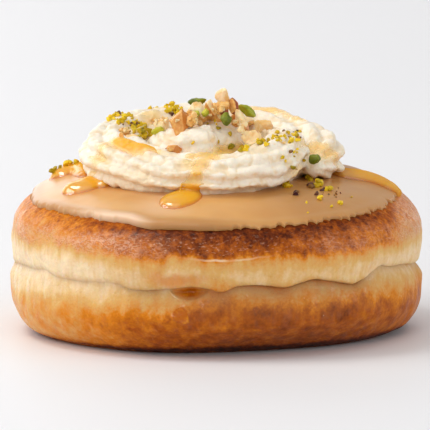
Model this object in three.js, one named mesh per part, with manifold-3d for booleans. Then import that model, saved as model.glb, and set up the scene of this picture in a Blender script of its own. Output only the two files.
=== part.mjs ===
// A round fried doughnut: dough with a creased waist, caramel icing, a swirl of whipped cream,
// chopped nuts and honey. Millimetres, +Z up, -Y to the front. The origin is the middle of the
// flat underside.

import * as THREE from "three";
import { mergeVertices } from "three/addons/utils/BufferGeometryUtils.js";
import Module from "manifold-3d";

const wasm = await Module();
wasm.setup();

const TAU = 2 * Math.PI;
const DEGREE = TAU / 360;
const UP = new THREE.Vector3(0, 0, 1);

// Dough: an upper and a lower half, each widest at its own waist, that meet in a crease
const RADIUS = 47.5;
const DOUGH_TOP = 35.4;
const UPPER_WAIST = 21.5;
const LOWER_WAIST = 10.5;
const SHOULDER_POWER = 3.1; // how square the upper half's shoulder is
const LEAN = { back: 0.016, left: 0.008 }; // slopes of the top, higher at the back and the left
const LOWER_DEPTH = 11.9; // how far the lower half would curve down if the floor did not flatten it
const LOWER_POWERS = { wide: 6, deep: 3 };
const CREASE_HEIGHT = 16.2;
const CREASE_DEPTH = 1.5;
const CREASE_SPREAD = 1.6; // height over which the crease's lips roll in
const CREASE_REACH = 4.2; // height over which the dough follows the crease up and down
const MOUTH = { angle: -98 * DEGREE, spread: 6 * DEGREE, depth: 1.6, drop: 0.9 }; // where the crease gapes
const DOUGH_SIDES = 60;
const FOOT_STEPS = 6;
const SHOULDER_STEPS = 11;

// Uneven rounds: each wave has a number of lobes, a height and a turn
const LUMPS = [
  { lobes: 2, rise: 0.005, turn: 0.4 },
  { lobes: 3, rise: 0.004, turn: 2.1 },
  { lobes: 7, rise: 0.0025, turn: 1.3 },
];
const CREASE_WAVES = [
  { lobes: 2, rise: 1.3, turn: 4.7 },
  { lobes: 5, rise: 0.5, turn: 0.9 },
  { lobes: 9, rise: 0.6, turn: 3.9 },
  { lobes: 14, rise: 0.35, turn: 1.2 },
];
const ICING_WAVES = [
  { lobes: 3, rise: 0.9 * DEGREE, turn: 0.5 },
  { lobes: 8, rise: 0.7 * DEGREE, turn: 2.6 },
  { lobes: 13, rise: 0.6 * DEGREE, turn: 4.4 },
  { lobes: 21, rise: 0.5 * DEGREE, turn: 1.1 },
];

// Icing: a skin over the top, with a swollen rim
const GAP = 0.3; // air between pieces that touch
const ICING_THICKNESS = 1.1;
const ICING_EDGE = 28.5 * DEGREE; // latitude on the upper half where the icing ends
const ICING_STEPS = 8;
const RIM_SWELL = 1.25;

// Cream: one thick rope that winds inwards, on a bed that fills the valley between its turns and a
// mound in its middle. Each station gives the turn from the right in degrees, the ridge's plan radius,
// the height of its crest, half its width and the height of its underside before the icing shapes it.
const SWIRL = [
  { turn: -24, radius: 24.5, crest: 43.5, half: 5.6, foot: 34.4 },
  { turn: 20, radius: 23.4, crest: 46.2, half: 7.2, foot: 34.4 },
  { turn: 65, radius: 22.2, crest: 48.6, half: 8.0, foot: 34.4 },
  { turn: 110, radius: 21.8, crest: 49.3, half: 8.4, foot: 34.4 },
  { turn: 155, radius: 22.2, crest: 48.0, half: 8.4, foot: 34.4 },
  { turn: 200, radius: 22.4, crest: 46.2, half: 8.3, foot: 34.4 },
  { turn: 240, radius: 21.8, crest: 44.3, half: 8.2, foot: 34.4 },
  { turn: 275, radius: 21.2, crest: 43.7, half: 8.0, foot: 34.4 },
  { turn: 310, radius: 20.4, crest: 46.4, half: 7.0, foot: 35.4 },
  { turn: 338, radius: 18.6, crest: 48.0, half: 6.0, foot: 37.6 },
  { turn: 385, radius: 13.4, crest: 47.0, half: 5.2, foot: 38.4 },
  { turn: 450, radius: 8.8, crest: 47.6, half: 5.0, foot: 38.4 },
  { turn: 540, radius: 7.0, crest: 47.4, half: 5.2, foot: 38.4 },
  { turn: 620, radius: 5.8, crest: 48.4, half: 5.4, foot: 38.4 },
  { turn: 690, radius: 2.8, crest: 48.8, half: 4.6, foot: 39.4 },
];
const SWIRL_CENTRE = new THREE.Vector2(-0.7, 0);
const SWIRL_SHIFT = new THREE.Vector2(-4.2, -1.6); // how much further off the innermost turn lies
const SWIRL_SIDES = 18;
const SWIRL_STEPS = 70;
const SWIRL_RIDGES = { count: 6, rise: 0.04, twist: 0.9 };
const SWIRL_RADIUS = 22; // turns millimetres along the outer turn into an angle
const SWIRL_GIRTH = 7.5; // turns millimetres round the rope into an angle
const BED = { foot: 34.4, radius: 21, height: 42.2, bevel: 5, sides: 30 };
const MOUND = { at: [-1.5, 0, 42], half: [9.5, 7.5, 7.6], sides: 20, steps: 12 };

// Honey: ribbons over the rope, pools in its valley and drops on the icing. Ribbon stations are
// millimetres along the outer turn and round the rope, from its outer side up; the rest are plan places.
const HONEY_RISE = 0.7;
const HONEY_SINK = 0.9;
const HONEY_SIDES = 6;
const HONEY_STEPS = 10;
const HONEY_RIBBONS = [
  [ // over the front
    { u: 102.5, v: 15.5, half: 2.2 },
    { u: 101.5, v: 10, half: 2.0 },
    { u: 100, v: 4, half: 1.5 },
    { u: 98.6, v: -2.6, half: 1.9 },
  ],
  [ // over the left
    { u: 80, v: 14, half: 3.2 },
    { u: 78, v: 8, half: 2.6 },
    { u: 76, v: 0, half: 2.0 },
  ],
  [ // over the right
    { u: 4, v: 15, half: 2.6 },
    { u: 5.5, v: 8, half: 2.9 },
    { u: 7, v: 1, half: 2.4 },
  ],
  [ // along the back
    { u: 14, v: 10.5, half: 1.6 },
    { u: 24, v: 11.5, half: 2.0 },
    { u: 36, v: 11, half: 1.6 },
  ],
];
const HONEY_POOL_HEIGHT = 42.9;
const HONEY_POOLS = [
  [
    { u: -19, v: -1, half: 1.6 },
    { u: -17, v: -7, half: 2.4 },
    { u: -11.5, v: -11.5, half: 1.8 },
  ],
  [
    { u: -6, v: -13.2, half: 1.4 },
    { u: 1, v: -13.2, half: 1.8 },
    { u: 8, v: -11, half: 1.4 },
  ],
];
const HONEY_DROPS = [
  [ // front
    { u: -5.2, v: -31.9, half: 1.5 },
    { u: -8.2, v: -34.4, half: 2.9 },
    { u: -11.2, v: -36.2, half: 2.2 },
  ],
  [ // left
    { u: -27.4, v: -16.6, half: 1.6 },
    { u: -31, v: -18, half: 2.7 },
    { u: -35, v: -18.6, half: 1.9 },
  ],
  [ // far left
    { u: -32.6, v: 5, half: 1.6 },
    { u: -35.4, v: 6, half: 2.4 },
    { u: -37.6, v: 6.4, half: 1.6 },
  ],
  [ // right, running to the rim
    { u: 31, v: 9, half: 3.2 },
    { u: 37, v: 4.4, half: 4.2 },
    { u: 43.2, v: -2.4, half: 2.2 },
  ],
];

// Nuts and pistachios that make up the heap: place, then half sizes along the piece's own axes
const HEAP = [
  { at: [-8.8, -5.6, 48.9], half: [3.1, 2.6, 3.0] },
  { at: [-5.2, -6.4, 49.6], half: [1.6, 1.5, 1.6] },
  { at: [-4.1, -3.0, 52.3], half: [2.5, 2.2, 2.4] },
  { at: [1.5, -1.2, 54.9], half: [1.8, 1.7, 2.4] },
  { at: [1.5, -3.8, 52.5], half: [2.2, 2.0, 2.3] },
  { at: [-0.7, -2.8, 52.0], half: [2.2, 2.1, 2.3] },
  { at: [3.9, -1.6, 52.0], half: [2.1, 2.0, 2.3] },
  { at: [5.8, -4.0, 49.2], half: [1.6, 1.5, 2.9] },
  { at: [8.4, -5.6, 45.6], half: [2.7, 2.4, 2.5] },
  { at: [6.2, -6.0, 47.2], half: [1.5, 1.4, 1.5] },
  { at: [11.4, 1.6, 46.6], half: [2.8, 2.5, 2.7] },
  { at: [-4.3, 0.0, 53.0], half: [2.6, 1.7, 1.4] },
  { at: [7.2, -0.2, 50.8], half: [3.0, 1.5, 1.4] },
  { at: [2.4, -6.2, 50.0], half: [1.7, 1.6, 1.7] },
  { at: [0.2, -0.6, 49.8], half: [3.4, 3.0, 3.2] },
  { at: [5.0, 1.8, 48.6], half: [3.2, 2.8, 2.9] },
  { at: [0.4, 3.8, 50.0], half: [2.8, 2.5, 2.6] },
  { at: [-4.8, 2.8, 50.2], half: [2.6, 2.5, 2.4] },
  { at: [-3.8, -2.4, 49.6], half: [2.6, 2.4, 2.6] },
];
// Single pieces and crumbs that lie on the cream or the icing, as ellipses in plan
const CREAM_CRUMBS = [
  { centre: [-10.4, -14.0], spread: [0.1, 0.1], count: 1, half: [2.3, 2.3] },
  { centre: [-19.4, -3.4], spread: [2.4, 1.6], count: 2, half: [1.5, 1.9] },
  { centre: [-20.6, 3.0], spread: [5.6, 4.0], count: 9, half: [0.9, 1.5] },
  { centre: [-11.4, 1.4], spread: [2.4, 2.6], count: 4, half: [1.0, 1.5] },
  { centre: [17.0, -11.4], spread: [6.0, 3.6], count: 9, half: [0.8, 1.4] },
  { centre: [-1.0, -8.4], spread: [5.4, 1.4], count: 3, half: [0.8, 1.1] },
  { centre: [4.0, 20.0], spread: [10.0, 3.6], count: 6, half: [0.9, 1.5] },
];
const ICING_CRUMBS = [
  { centre: [23.4, -26.6], spread: [6.2, 2.4], count: 8, half: [0.8, 1.3] },
  { centre: [-34.8, 16.6], spread: [2.4, 2.2], count: 4, half: [0.8, 1.3] },
  { centre: [6.0, 36.0], spread: [5.0, 1.6], count: 3, half: [0.8, 1.2] },
];
const CRUMB_SINK = 0.35; // share of a crumb's half size that is pressed in
const CHUNK_ROUGHNESS = 0.32;

const COLOURS = { dough: 0xc98a45, icing: 0xd9a566, cream: 0xf3e7d2 };

// A repeatable number from 0 to 1 for each whole number
function scatter(index) {
  const value = Math.sin(index * 12.9898 + 4.1414) * 43758.5453;
  return value - Math.floor(value);
}

function ripple(waves, angle) {
  return waves.reduce((sum, { lobes, rise, turn }) => sum + rise * Math.sin(lobes * angle + turn), 0);
}

// A geometry whose matching corners are joined, as a solid
function solid(geometry) {
  const bare = geometry.clone();
  bare.deleteAttribute("normal");
  bare.deleteAttribute("uv");
  const merged = mergeVertices(bare);
  return new wasm.Manifold(
    new wasm.Mesh({
      numProp: 3,
      vertProperties: new Float32Array(merged.getAttribute("position").array),
      triVerts: new Uint32Array(merged.index.array),
    }),
  );
}

function geometryOf(made) {
  const { vertProperties, triVerts } = made.getMesh();
  const geometry = new THREE.BufferGeometry();
  geometry.setAttribute("position", new THREE.BufferAttribute(vertProperties, 3));
  geometry.setIndex(new THREE.BufferAttribute(triVerts, 1));
  geometry.computeVertexNormals();
  return geometry;
}

// Fuses solids into one, without loose scraps or sealed hollows
function fused(solids) {
  const whole = solids.reduce((sum, one) => sum.add(one));
  const bodies = whole.decompose();
  return bodies.reduce((largest, body) => (body.volume() > largest.volume() ? body : largest));
}

function reshape(geometry, move) {
  const position = geometry.getAttribute("position");
  const point = new THREE.Vector3();
  for (let i = 0; i < position.count; i++) {
    point.fromBufferAttribute(position, i);
    const moved = move(point, i);
    position.setXYZ(i, moved.x, moved.y, moved.z);
  }
  return geometry;
}

// A skin of revolution about Z whose every point is then placed by move(radius, height, angle)
function turned(profile, sides, move) {
  const lathe = new THREE.LatheGeometry(profile, sides).rotateX(TAU / 4);
  return reshape(lathe, ({ x, y, z }) => move(Math.hypot(x, y), z, Math.atan2(y, x)));
}

// A sphere drawn out into a rope: place(share, around) gives a point for each share of the length
// and angle round it, with the sphere's poles as the ends
function rope(sides, steps, place) {
  const sphere = new THREE.SphereGeometry(1, sides, steps);
  const uv = sphere.getAttribute("uv");
  return reshape(sphere, (_, i) => place(1 - uv.getY(i), TAU * uv.getX(i)));
}

function polar(radius, angle, height) {
  return new THREE.Vector3(radius * Math.cos(angle), radius * Math.sin(angle), height);
}

// Radius and height of the upper half's even outline
function shoulder(latitude) {
  const power = 2 / SHOULDER_POWER;
  const radius = RADIUS * Math.max(Math.cos(latitude), 0) ** power;
  return new THREE.Vector2(radius, UPPER_WAIST + (DOUGH_TOP - UPPER_WAIST) * Math.sin(latitude) ** power);
}

function lowerRadius(height) {
  const drop = Math.max(LOWER_WAIST - height, 0) / LOWER_DEPTH;
  return RADIUS * (1 - drop ** LOWER_POWERS.deep) ** (1 / LOWER_POWERS.wide);
}

// Turns a point of the even outline into one of the uneven dough
function knead(radius, height, angle) {
  const fromCrease = height - CREASE_HEIGHT;
  const follow = Math.exp(-((fromCrease / CREASE_REACH) ** 2));
  const gape = Math.exp(-(((angle - MOUTH.angle) / MOUTH.spread) ** 2));
  const depth = CREASE_DEPTH + MOUTH.depth * gape;
  const groove = depth * Math.exp(-Math.abs(fromCrease) / CREASE_SPREAD);
  const rise = ripple(CREASE_WAVES, angle) - MOUTH.drop * gape;
  const kneaded = polar(radius * (1 + ripple(LUMPS, angle)) - groove, angle, height + follow * rise);
  const topward = Math.max(height - UPPER_WAIST, 0) / (DOUGH_TOP - UPPER_WAIST);
  kneaded.z += topward * (LEAN.back * kneaded.y - LEAN.left * kneaded.x);
  return kneaded;
}

function doughTop(latitude, angle) {
  const { x, y } = shoulder(latitude);
  return knead(x, y, angle);
}

// Outward direction of the dough's upper half
function doughNormal(latitude, angle) {
  const step = 0.2 * DEGREE;
  if (latitude > TAU / 4 - step) return UP.clone();
  const upward = doughTop(latitude + step, angle).sub(doughTop(latitude - step, angle));
  const onward = doughTop(latitude, angle + step).sub(doughTop(latitude, angle - step));
  return onward.cross(upward).normalize();
}

function aboveDough(latitude, angle, lift) {
  return doughTop(latitude, angle).addScaledVector(doughNormal(latitude, angle), lift);
}

// A point above the icing's upper face, over a place in plan
function onIcing(x, y, lift) {
  const angle = Math.atan2(y, x);
  const even = Math.hypot(x, y) / (RADIUS * (1 + ripple(LUMPS, angle)));
  const latitude = Math.acos(Math.min(even, 1) ** (SHOULDER_POWER / 2));
  return aboveDough(latitude, angle, GAP + ICING_THICKNESS + lift);
}

function doughSkin() {
  const outline = [new THREE.Vector2(0, 0)];
  for (let i = 0; i <= FOOT_STEPS; i++) {
    const height = LOWER_WAIST * (1 - Math.cos((i / FOOT_STEPS) * (TAU / 4)));
    outline.push(new THREE.Vector2(lowerRadius(height), height));
  }
  for (const fromCrease of [-4, -2.2, -1, 0, 1, 2.2, 3.6]) {
    outline.push(new THREE.Vector2(RADIUS, CREASE_HEIGHT + fromCrease));
  }
  for (let i = 0; i <= SHOULDER_STEPS; i++) {
    outline.push(shoulder((i / SHOULDER_STEPS) * (TAU / 4)));
  }
  return turned(outline, DOUGH_SIDES, knead);
}

// A skin over the dough's top from one lift to another, with a rounded rim
function overTop(low, high, rim) {
  const profile = [];
  for (let i = 0; i <= ICING_STEPS; i++) profile.push(new THREE.Vector2(i / ICING_STEPS, low));
  profile.push(new THREE.Vector2(1.02, low + 0.4 * (high - low)));
  profile.push(new THREE.Vector2(1.005, low + 0.85 * (high - low)));
  profile.push(new THREE.Vector2(0.965, low + rim * (high - low)));
  for (let i = ICING_STEPS - 1; i >= 0; i--) profile.push(new THREE.Vector2(i / ICING_STEPS, high));
  return turned(profile, DOUGH_SIDES, (share, lift, angle) => {
    const edge = ICING_EDGE + ripple(ICING_WAVES, angle);
    return aboveDough(TAU / 4 - share * (TAU / 4 - edge), angle, lift);
  });
}

// The rope's stations as smooth curves: its line has turn, radius and crest, its size half width and foot
function through(points) {
  return new THREE.CatmullRomCurve3(points, false, "catmullrom");
}
const swirlLine = through(SWIRL.map(({ turn, radius, crest }) => new THREE.Vector3(turn * DEGREE, radius, crest)));
const swirlSize = through(SWIRL.map(({ turn, half, foot }) => new THREE.Vector3(turn * DEGREE, half, foot)));

// A point on the cream rope, raised by lift: around is 0 on its outer side and a quarter turn on top
function onRope(share, around, lift, slimness = 1) {
  const { x: turn, y: radius, z: crest } = swirlLine.getPoint(share);
  const { y: half, z: foot } = swirlSize.getPoint(share);
  const tall = (crest - foot) / 2;
  const { count, rise, twist } = SWIRL_RIDGES;
  const ridge = 1 + rise * Math.sin(count * around + twist * turn);
  const across = (half * ridge * slimness + lift) * Math.cos(around);
  const upward = (tall * ridge * slimness + lift) * Math.sin(around);
  const inwards = 1 - Math.min(radius / SWIRL_RADIUS, 1);
  const { x, y } = SWIRL_SHIFT.clone().multiplyScalar(inwards).add(SWIRL_CENTRE);
  return polar(radius + across, turn, foot + tall + upward).add(new THREE.Vector3(x, y, 0));
}

function creamRope() {
  const roundness = 9; // how soon the rope reaches its full width from its ends
  return rope(SWIRL_SIDES, SWIRL_STEPS, (share, around) => {
    const slimness = Math.min(1, Math.sin(Math.PI * share) * roundness) ** 0.5;
    return onRope(share, around, 0, slimness);
  });
}

function creamBed() {
  const { foot, radius, height, bevel, sides } = BED;
  const profile = [
    new THREE.Vector2(0, foot),
    new THREE.Vector2(radius, foot),
    new THREE.Vector2(radius, height - bevel),
    new THREE.Vector2(radius - bevel, height),
    new THREE.Vector2(0, height),
  ];
  return turned(profile, sides, (r, z, angle) => polar(r, angle, z));
}

function creamMound() {
  const { at, half, sides, steps } = MOUND;
  return new THREE.SphereGeometry(1, sides, steps).rotateX(TAU / 4).scale(...half).translate(...at);
}

// A ribbon of honey along stations (u, v, half width) of a surface: place(u, v, lift) gives its points
function ribbon(stations, place) {
  const line = new THREE.CatmullRomCurve3(stations.map(({ u, v, half }) => new THREE.Vector3(u, v, half)));
  return rope(HONEY_SIDES, HONEY_STEPS, (share, around) => {
    const { x: u, y: v, z: half } = line.getPoint(share);
    const heading = line.getTangent(share).setZ(0).normalize();
    const taper = Math.sin(Math.PI * share) ** 0.5;
    const across = half * taper * Math.cos(around);
    const lift = taper * Math.sin(around) * (Math.sin(around) > 0 ? HONEY_RISE : HONEY_SINK);
    return place(u + heading.y * across, v - heading.x * across, lift);
  });
}

function overRope(u, v, lift) {
  const turn = u / SWIRL_RADIUS;
  let share = 0;
  for (let step = 0.25; step > 1e-4; step /= 2) {
    if (swirlLine.getPoint(share + step).x < turn) share += step;
  }
  return onRope(share, v / SWIRL_GIRTH, lift);
}

function inValley(u, v, lift) {
  return new THREE.Vector3(u, v, HONEY_POOL_HEIGHT + lift);
}

// A broken piece of nut with flat faces, turned its own way
function chunk([x, y, z], [halfX, halfY, halfZ], index) {
  const shell = new THREE.IcosahedronGeometry(1, 0);
  shell.deleteAttribute("normal");
  shell.deleteAttribute("uv");
  const turn = new THREE.Euler(TAU * scatter(index), TAU * scatter(index + 0.37), 0.4 * scatter(index + 0.71));
  return reshape(mergeVertices(shell), (point, i) => {
    const reach = 1 + CHUNK_ROUGHNESS * (scatter(31 * index + i) - 0.5);
    point.applyEuler(turn).multiplyScalar(reach);
    return new THREE.Vector3(x + halfX * point.x, y + halfY * point.y, z + halfZ * point.z);
  });
}

// Chunks scattered over ellipses in plan, each pressed into the surface that surfaceAt finds
function crumbs(groups, surfaceAt, firstIndex) {
  let index = firstIndex;
  const made = [];
  for (const { centre, spread, count, half } of groups) {
    for (let i = 0; i < count; i++, index++) {
      const away = Math.sqrt(scatter(index));
      const angle = TAU * scatter(index + 0.5);
      const x = centre[0] + spread[0] * away * Math.cos(angle);
      const y = centre[1] + spread[1] * away * Math.sin(angle);
      const size = half[0] + (half[1] - half[0]) * scatter(index + 0.25);
      const foot = surfaceAt(x, y);
      if (!foot) continue;
      const middle = [foot.x, foot.y, foot.z + size * (1 - CRUMB_SINK)];
      made.push(solid(chunk(middle, [size * 1.15, size, size * 0.9], index)));
    }
  }
  return made;
}

// The highest point of a solid over each place in plan
function topOf(made) {
  const mesh = new THREE.Mesh(geometryOf(made));
  const above = 100;
  return (x, y) => {
    const ray = new THREE.Raycaster(new THREE.Vector3(x, y, above), UP.clone().negate());
    return ray.intersectObject(mesh)[0]?.point;
  };
}

function makeIcing() {
  const skin = solid(overTop(GAP, GAP + ICING_THICKNESS, RIM_SWELL));
  const drops = HONEY_DROPS.map((stations) => solid(ribbon(stations, onIcing)));
  const toppings = crumbs(ICING_CRUMBS, (x, y) => onIcing(x, y, 0), 200);
  return fused([skin, ...drops, ...toppings]);
}

function makeCream() {
  const swirl = fused([solid(creamRope()), solid(creamBed()), solid(creamMound())]);
  const streams = HONEY_RIBBONS.map((stations) => solid(ribbon(stations, overRope)));
  const pools = HONEY_POOLS.map((stations) => solid(ribbon(stations, inValley)));
  const heap = HEAP.map(({ at, half }, index) => solid(chunk(at, half, index)));
  const toppings = crumbs(CREAM_CRUMBS, topOf(swirl), 100);
  const icingShape = solid(overTop(-DOUGH_TOP / 4, 2 * GAP + ICING_THICKNESS, 1));
  return fused([fused([swirl, ...streams, ...pools, ...heap, ...toppings]).subtract(icingShape)]);
}

function piece(name, geometry, roughness) {
  const material = new THREE.MeshStandardMaterial({ color: COLOURS[name], roughness, metalness: 0 });
  const mesh = new THREE.Mesh(geometry, material);
  mesh.name = name;
  return mesh;
}

const doughnut = new THREE.Group();
doughnut.add(piece("dough", doughSkin(), 0.55));
doughnut.add(piece("icing", geometryOf(makeIcing()), 0.25));
doughnut.add(piece("cream", geometryOf(makeCream()), 0.6));

export default doughnut;
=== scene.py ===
"""A fried doughnut with caramel icing, a swirl of whipped cream, chopped nuts, pistachios and honey.

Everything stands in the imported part's frame: metres, +Z up, -Y to the front, and the origin in the
middle of the underside. The classes hold their sizes in millimetres and scale them as meshes are made.
"""

import enum
import itertools
import logging
import math
from collections.abc import Iterable, Mapping, Sequence
from dataclasses import dataclass
from typing import Any, ClassVar

import bpy
import numpy as np
from mathutils import Matrix, Vector
from mathutils.bvhtree import BVHTree


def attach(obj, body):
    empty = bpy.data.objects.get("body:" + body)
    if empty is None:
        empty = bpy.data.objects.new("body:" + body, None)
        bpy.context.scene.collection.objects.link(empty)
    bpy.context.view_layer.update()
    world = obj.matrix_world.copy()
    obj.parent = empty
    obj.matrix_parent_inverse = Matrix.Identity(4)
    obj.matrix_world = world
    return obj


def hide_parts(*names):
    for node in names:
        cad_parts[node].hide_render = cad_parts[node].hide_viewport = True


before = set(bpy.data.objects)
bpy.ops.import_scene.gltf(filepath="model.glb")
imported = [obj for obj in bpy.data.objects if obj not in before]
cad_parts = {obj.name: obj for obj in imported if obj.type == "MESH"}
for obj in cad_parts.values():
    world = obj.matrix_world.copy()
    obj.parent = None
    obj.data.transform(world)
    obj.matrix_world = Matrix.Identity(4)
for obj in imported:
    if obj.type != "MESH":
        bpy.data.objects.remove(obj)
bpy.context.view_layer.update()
LOG = logging.getLogger("doughnut")

Array = np.ndarray
MM = 0.001
BODY = "root"


def hashed(cells: Array, seed: int) -> Array:
    """Turn whole-number cells into repeatable values.

    Args:
        cells: Rows of three whole numbers.
        seed: Picks one of many unlike patterns.

    Returns:
        One value from -1 to 1 for each row.
    """
    words = cells.astype(np.int64).astype(np.uint32)
    mixed = words[:, 0] * np.uint32(73856093) ^ words[:, 1] * np.uint32(19349663)
    mixed ^= words[:, 2] * np.uint32(83492791) ^ np.uint32(seed * 2654435761 % 2**32)
    for shift, factor in ((15, 0x2C1B3C6D), (12, 0x297A2D39)):
        mixed = (mixed ^ (mixed >> np.uint32(shift))) * np.uint32(factor)
    return (mixed ^ (mixed >> np.uint32(15))) / 2.0**31 - 1.0


def noise(points: Array, size: float | Sequence[float], seed: int) -> Array:
    """Give smooth noise over space.

    Args:
        points: Rows of x, y and z.
        size: How wide its bumps are, the same each way or along x, y and z.
        seed: Picks the pattern.

    Returns:
        One value from -1 to 1 for each point.
    """
    scaled = points / np.asarray(size, dtype=float)
    cell = np.floor(scaled)
    share = scaled - cell
    share = share * share * (3 - 2 * share)
    total = np.zeros(len(points))
    for corner in itertools.product((0, 1), repeat=3):
        weight = np.prod(np.where(corner, share, 1 - share), axis=1)
        total += weight * hashed(cell + corner, seed)
    return total


def layered(points: Array, size: float, seed: int, layers: int = 3) -> Array:
    """Add up noise of ever smaller bumps, each layer half as high as the one before."""
    return sum(noise(points, size / 2**i, seed + i) / 2**i for i in range(layers))


def ease(value: Array, low: Any, high: Any) -> Array:
    """Go smoothly from 0 at low to 1 at high."""
    share = np.clip((value - low) / (high - low), 0, 1)
    return share * share * (3 - 2 * share)


def hill(value: Array, middle: float, spread: float) -> Array:
    """Give a round hill, 1 at its middle and near 0 two spreads away."""
    return np.exp(-(((value - middle) / spread) ** 2))


def polar(radius: Array, angle: Array, height: Array) -> Array:
    """Give rows of x, y and z for points round the Z axis."""
    return np.stack([radius * np.cos(angle), radius * np.sin(angle), height], axis=1)


def unit(vectors: Array) -> Array:
    """Scale rows of vectors to a length of 1."""
    return vectors / np.maximum(np.linalg.norm(vectors, axis=1, keepdims=True), 1e-9)


def through(stations: Array, share: Array) -> Array:
    """Follow a smooth curve through stations.

    Args:
        stations: One row of values for each station.
        share: How far along the curve, from 0 to 1.

    Returns:
        One row of values for each share.
    """
    ends = [2 * stations[0] - stations[1], 2 * stations[-1] - stations[-2]]
    rows = np.vstack([ends[0], stations, ends[1]])
    along = np.clip(share, 0, 1) * (len(stations) - 1)
    first = np.minimum(along.astype(int), len(stations) - 2)
    t = (along - first)[:, None]
    a, b, c, d = (rows[first + i] for i in range(4))
    return b + t / 2 * ((c - a) + t * ((2 * a - 5 * b + 4 * c - d) + t * (3 * (b - c) + d - a)))


@dataclass(frozen=True)
class Wave:
    """One regular wave round a circle."""

    lobes: int
    rise: float
    turn: float


def ripple(waves: Iterable[Wave], angle: Array) -> Array:
    """Add up waves round a circle at each angle."""
    return sum(wave.rise * np.sin(wave.lobes * angle + wave.turn) for wave in waves)


class Bench:
    """Blender's operators, used as by hand on one piece at a time.

    Vertices nearer to each other than DOUBLED, in metres, are merged.
    """

    DOUBLED: ClassVar[float] = 1e-6

    @staticmethod
    def pick(*pieces: bpy.types.Object) -> None:
        """Select these pieces alone, in object mode, with the first one active.

        Args:
            pieces: What to select, or nothing.
        """
        if bpy.context.object is not None and bpy.context.object.mode != "OBJECT":
            bpy.ops.object.mode_set(mode="OBJECT")
        bpy.ops.object.select_all(action="DESELECT")
        for piece in pieces:
            piece.select_set(True)
        bpy.context.view_layer.objects.active = pieces[0] if pieces else None

    @classmethod
    def ball(cls, name: str, around: int, along: int) -> bpy.types.Object:
        """Add a sphere of rings, to be drawn out into a piece.

        Args:
            name: The piece's name.
            around: Sides of each ring.
            along: Steps from pole to pole.

        Returns:
            The new object.
        """
        cls.pick()
        bpy.ops.mesh.primitive_uv_sphere_add(segments=around, ring_count=along, radius=1.0)
        piece = bpy.context.object
        piece.name = piece.data.name = name
        return piece

    @staticmethod
    def points(piece: bpy.types.Object, what: str = "co") -> Array:
        """Read a piece's vertices, or their normals.

        Args:
            piece: What to read.
            what: "co" for places, or "normal" for normals.

        Returns:
            Rows of x, y and z.
        """
        values = np.empty(len(piece.data.vertices) * 3)
        piece.data.vertices.foreach_get(what, values)
        return values.reshape(-1, 3)

    @classmethod
    def rings(cls, piece: bpy.types.Object, along: int) -> tuple[Array, Array]:
        """Tell which ring each vertex of a new ball lies on, and its angle round it.

        Args:
            piece: A ball, not yet reshaped.
            along: The steps from pole to pole that it was made with.

        Returns:
            Ring numbers from the lower pole up, and angles.
        """
        x, y, z = cls.points(piece).T
        ring = np.rint((1 - np.arccos(np.clip(z, -1, 1)) / np.pi) * along).astype(int)
        return ring, np.arctan2(y, x)

    @staticmethod
    def shape(piece: bpy.types.Object, places: Array) -> None:
        """Move a piece's vertices to places in millimetres."""
        piece.data.vertices.foreach_set("co", (places * MM).ravel())
        piece.data.update()

    @classmethod
    def close(cls, piece: bpy.types.Object) -> None:
        """Merge doubled vertices and turn all faces outwards.

        Args:
            piece: What to close.
        """
        cls.pick(piece)
        bpy.ops.object.mode_set(mode="EDIT")
        bpy.ops.mesh.select_all(action="SELECT")
        bpy.ops.mesh.remove_doubles(threshold=cls.DOUBLED)
        bpy.ops.mesh.normals_make_consistent(inside=False)
        bpy.ops.object.mode_set(mode="OBJECT")

    @classmethod
    def delete(cls, piece: bpy.types.Object, chosen: Array) -> None:
        """Delete some vertices.

        Args:
            piece: What to delete from.
            chosen: Whether each vertex goes.
        """
        cls.pick(piece)
        bpy.ops.object.mode_set(mode="EDIT")
        bpy.ops.mesh.select_mode(type="VERT")
        bpy.ops.mesh.select_all(action="DESELECT")
        bpy.ops.object.mode_set(mode="OBJECT")
        piece.data.vertices.foreach_set("select", chosen)
        bpy.ops.object.mode_set(mode="EDIT")
        bpy.ops.mesh.delete(type="VERT")
        bpy.ops.object.mode_set(mode="OBJECT")

    @classmethod
    def apply(cls, piece: bpy.types.Object, kind: str, **settings: Any) -> None:
        """Add a modifier and apply it.

        Args:
            piece: What it works on.
            kind: The modifier's type.
            settings: Its settings, by name.
        """
        cls.pick(piece)
        modifier = piece.modifiers.new(kind, kind)
        for name, value in settings.items():
            setattr(modifier, name, value)
        bpy.ops.object.modifier_apply(modifier=modifier.name)

    @classmethod
    def smooth(cls, piece: bpy.types.Object, degrees: float = 180.0) -> None:
        """Shade a piece smoothly, apart from edges sharper than an angle."""
        cls.pick(piece)
        bpy.ops.object.shade_smooth_by_angle(angle=math.radians(degrees))

    @classmethod
    def join(cls, name: str, pieces: Sequence[bpy.types.Object]) -> bpy.types.Object:
        """Join pieces into one.

        Args:
            name: The joined piece's name.
            pieces: What to join.

        Returns:
            The joined piece.
        """
        cls.pick(*pieces)
        bpy.ops.object.join()
        piece = bpy.context.object
        piece.name = piece.data.name = name
        return piece

    @staticmethod
    def paint(piece: bpy.types.Object, name: str, values: Array) -> None:
        """Keep one number for each vertex, for the finish to read."""
        layer = piece.data.attributes.new(name, "FLOAT", "POINT")
        layer.data.foreach_set("value", np.asarray(values, dtype=np.float32))

    @staticmethod
    def hand_over(
        piece: bpy.types.Object, finish: bpy.types.Material, slot: str, *nodes: str
    ) -> bpy.types.Object:
        """Dress a finished piece and fix it to the part's body.

        Args:
            piece: The finished piece.
            finish: Its material, unless it already has its own.
            slot: The record's material slot; not used here.
            nodes: Solids that it stands for.

        Returns:
            The same piece.
        """
        if not piece.data.materials:
            piece.data.materials.append(finish)
        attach(piece, BODY)
        if nodes:
            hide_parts(*nodes)
        LOG.info("%s: %d faces", piece.name, len(piece.data.polygons))
        return piece


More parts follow.
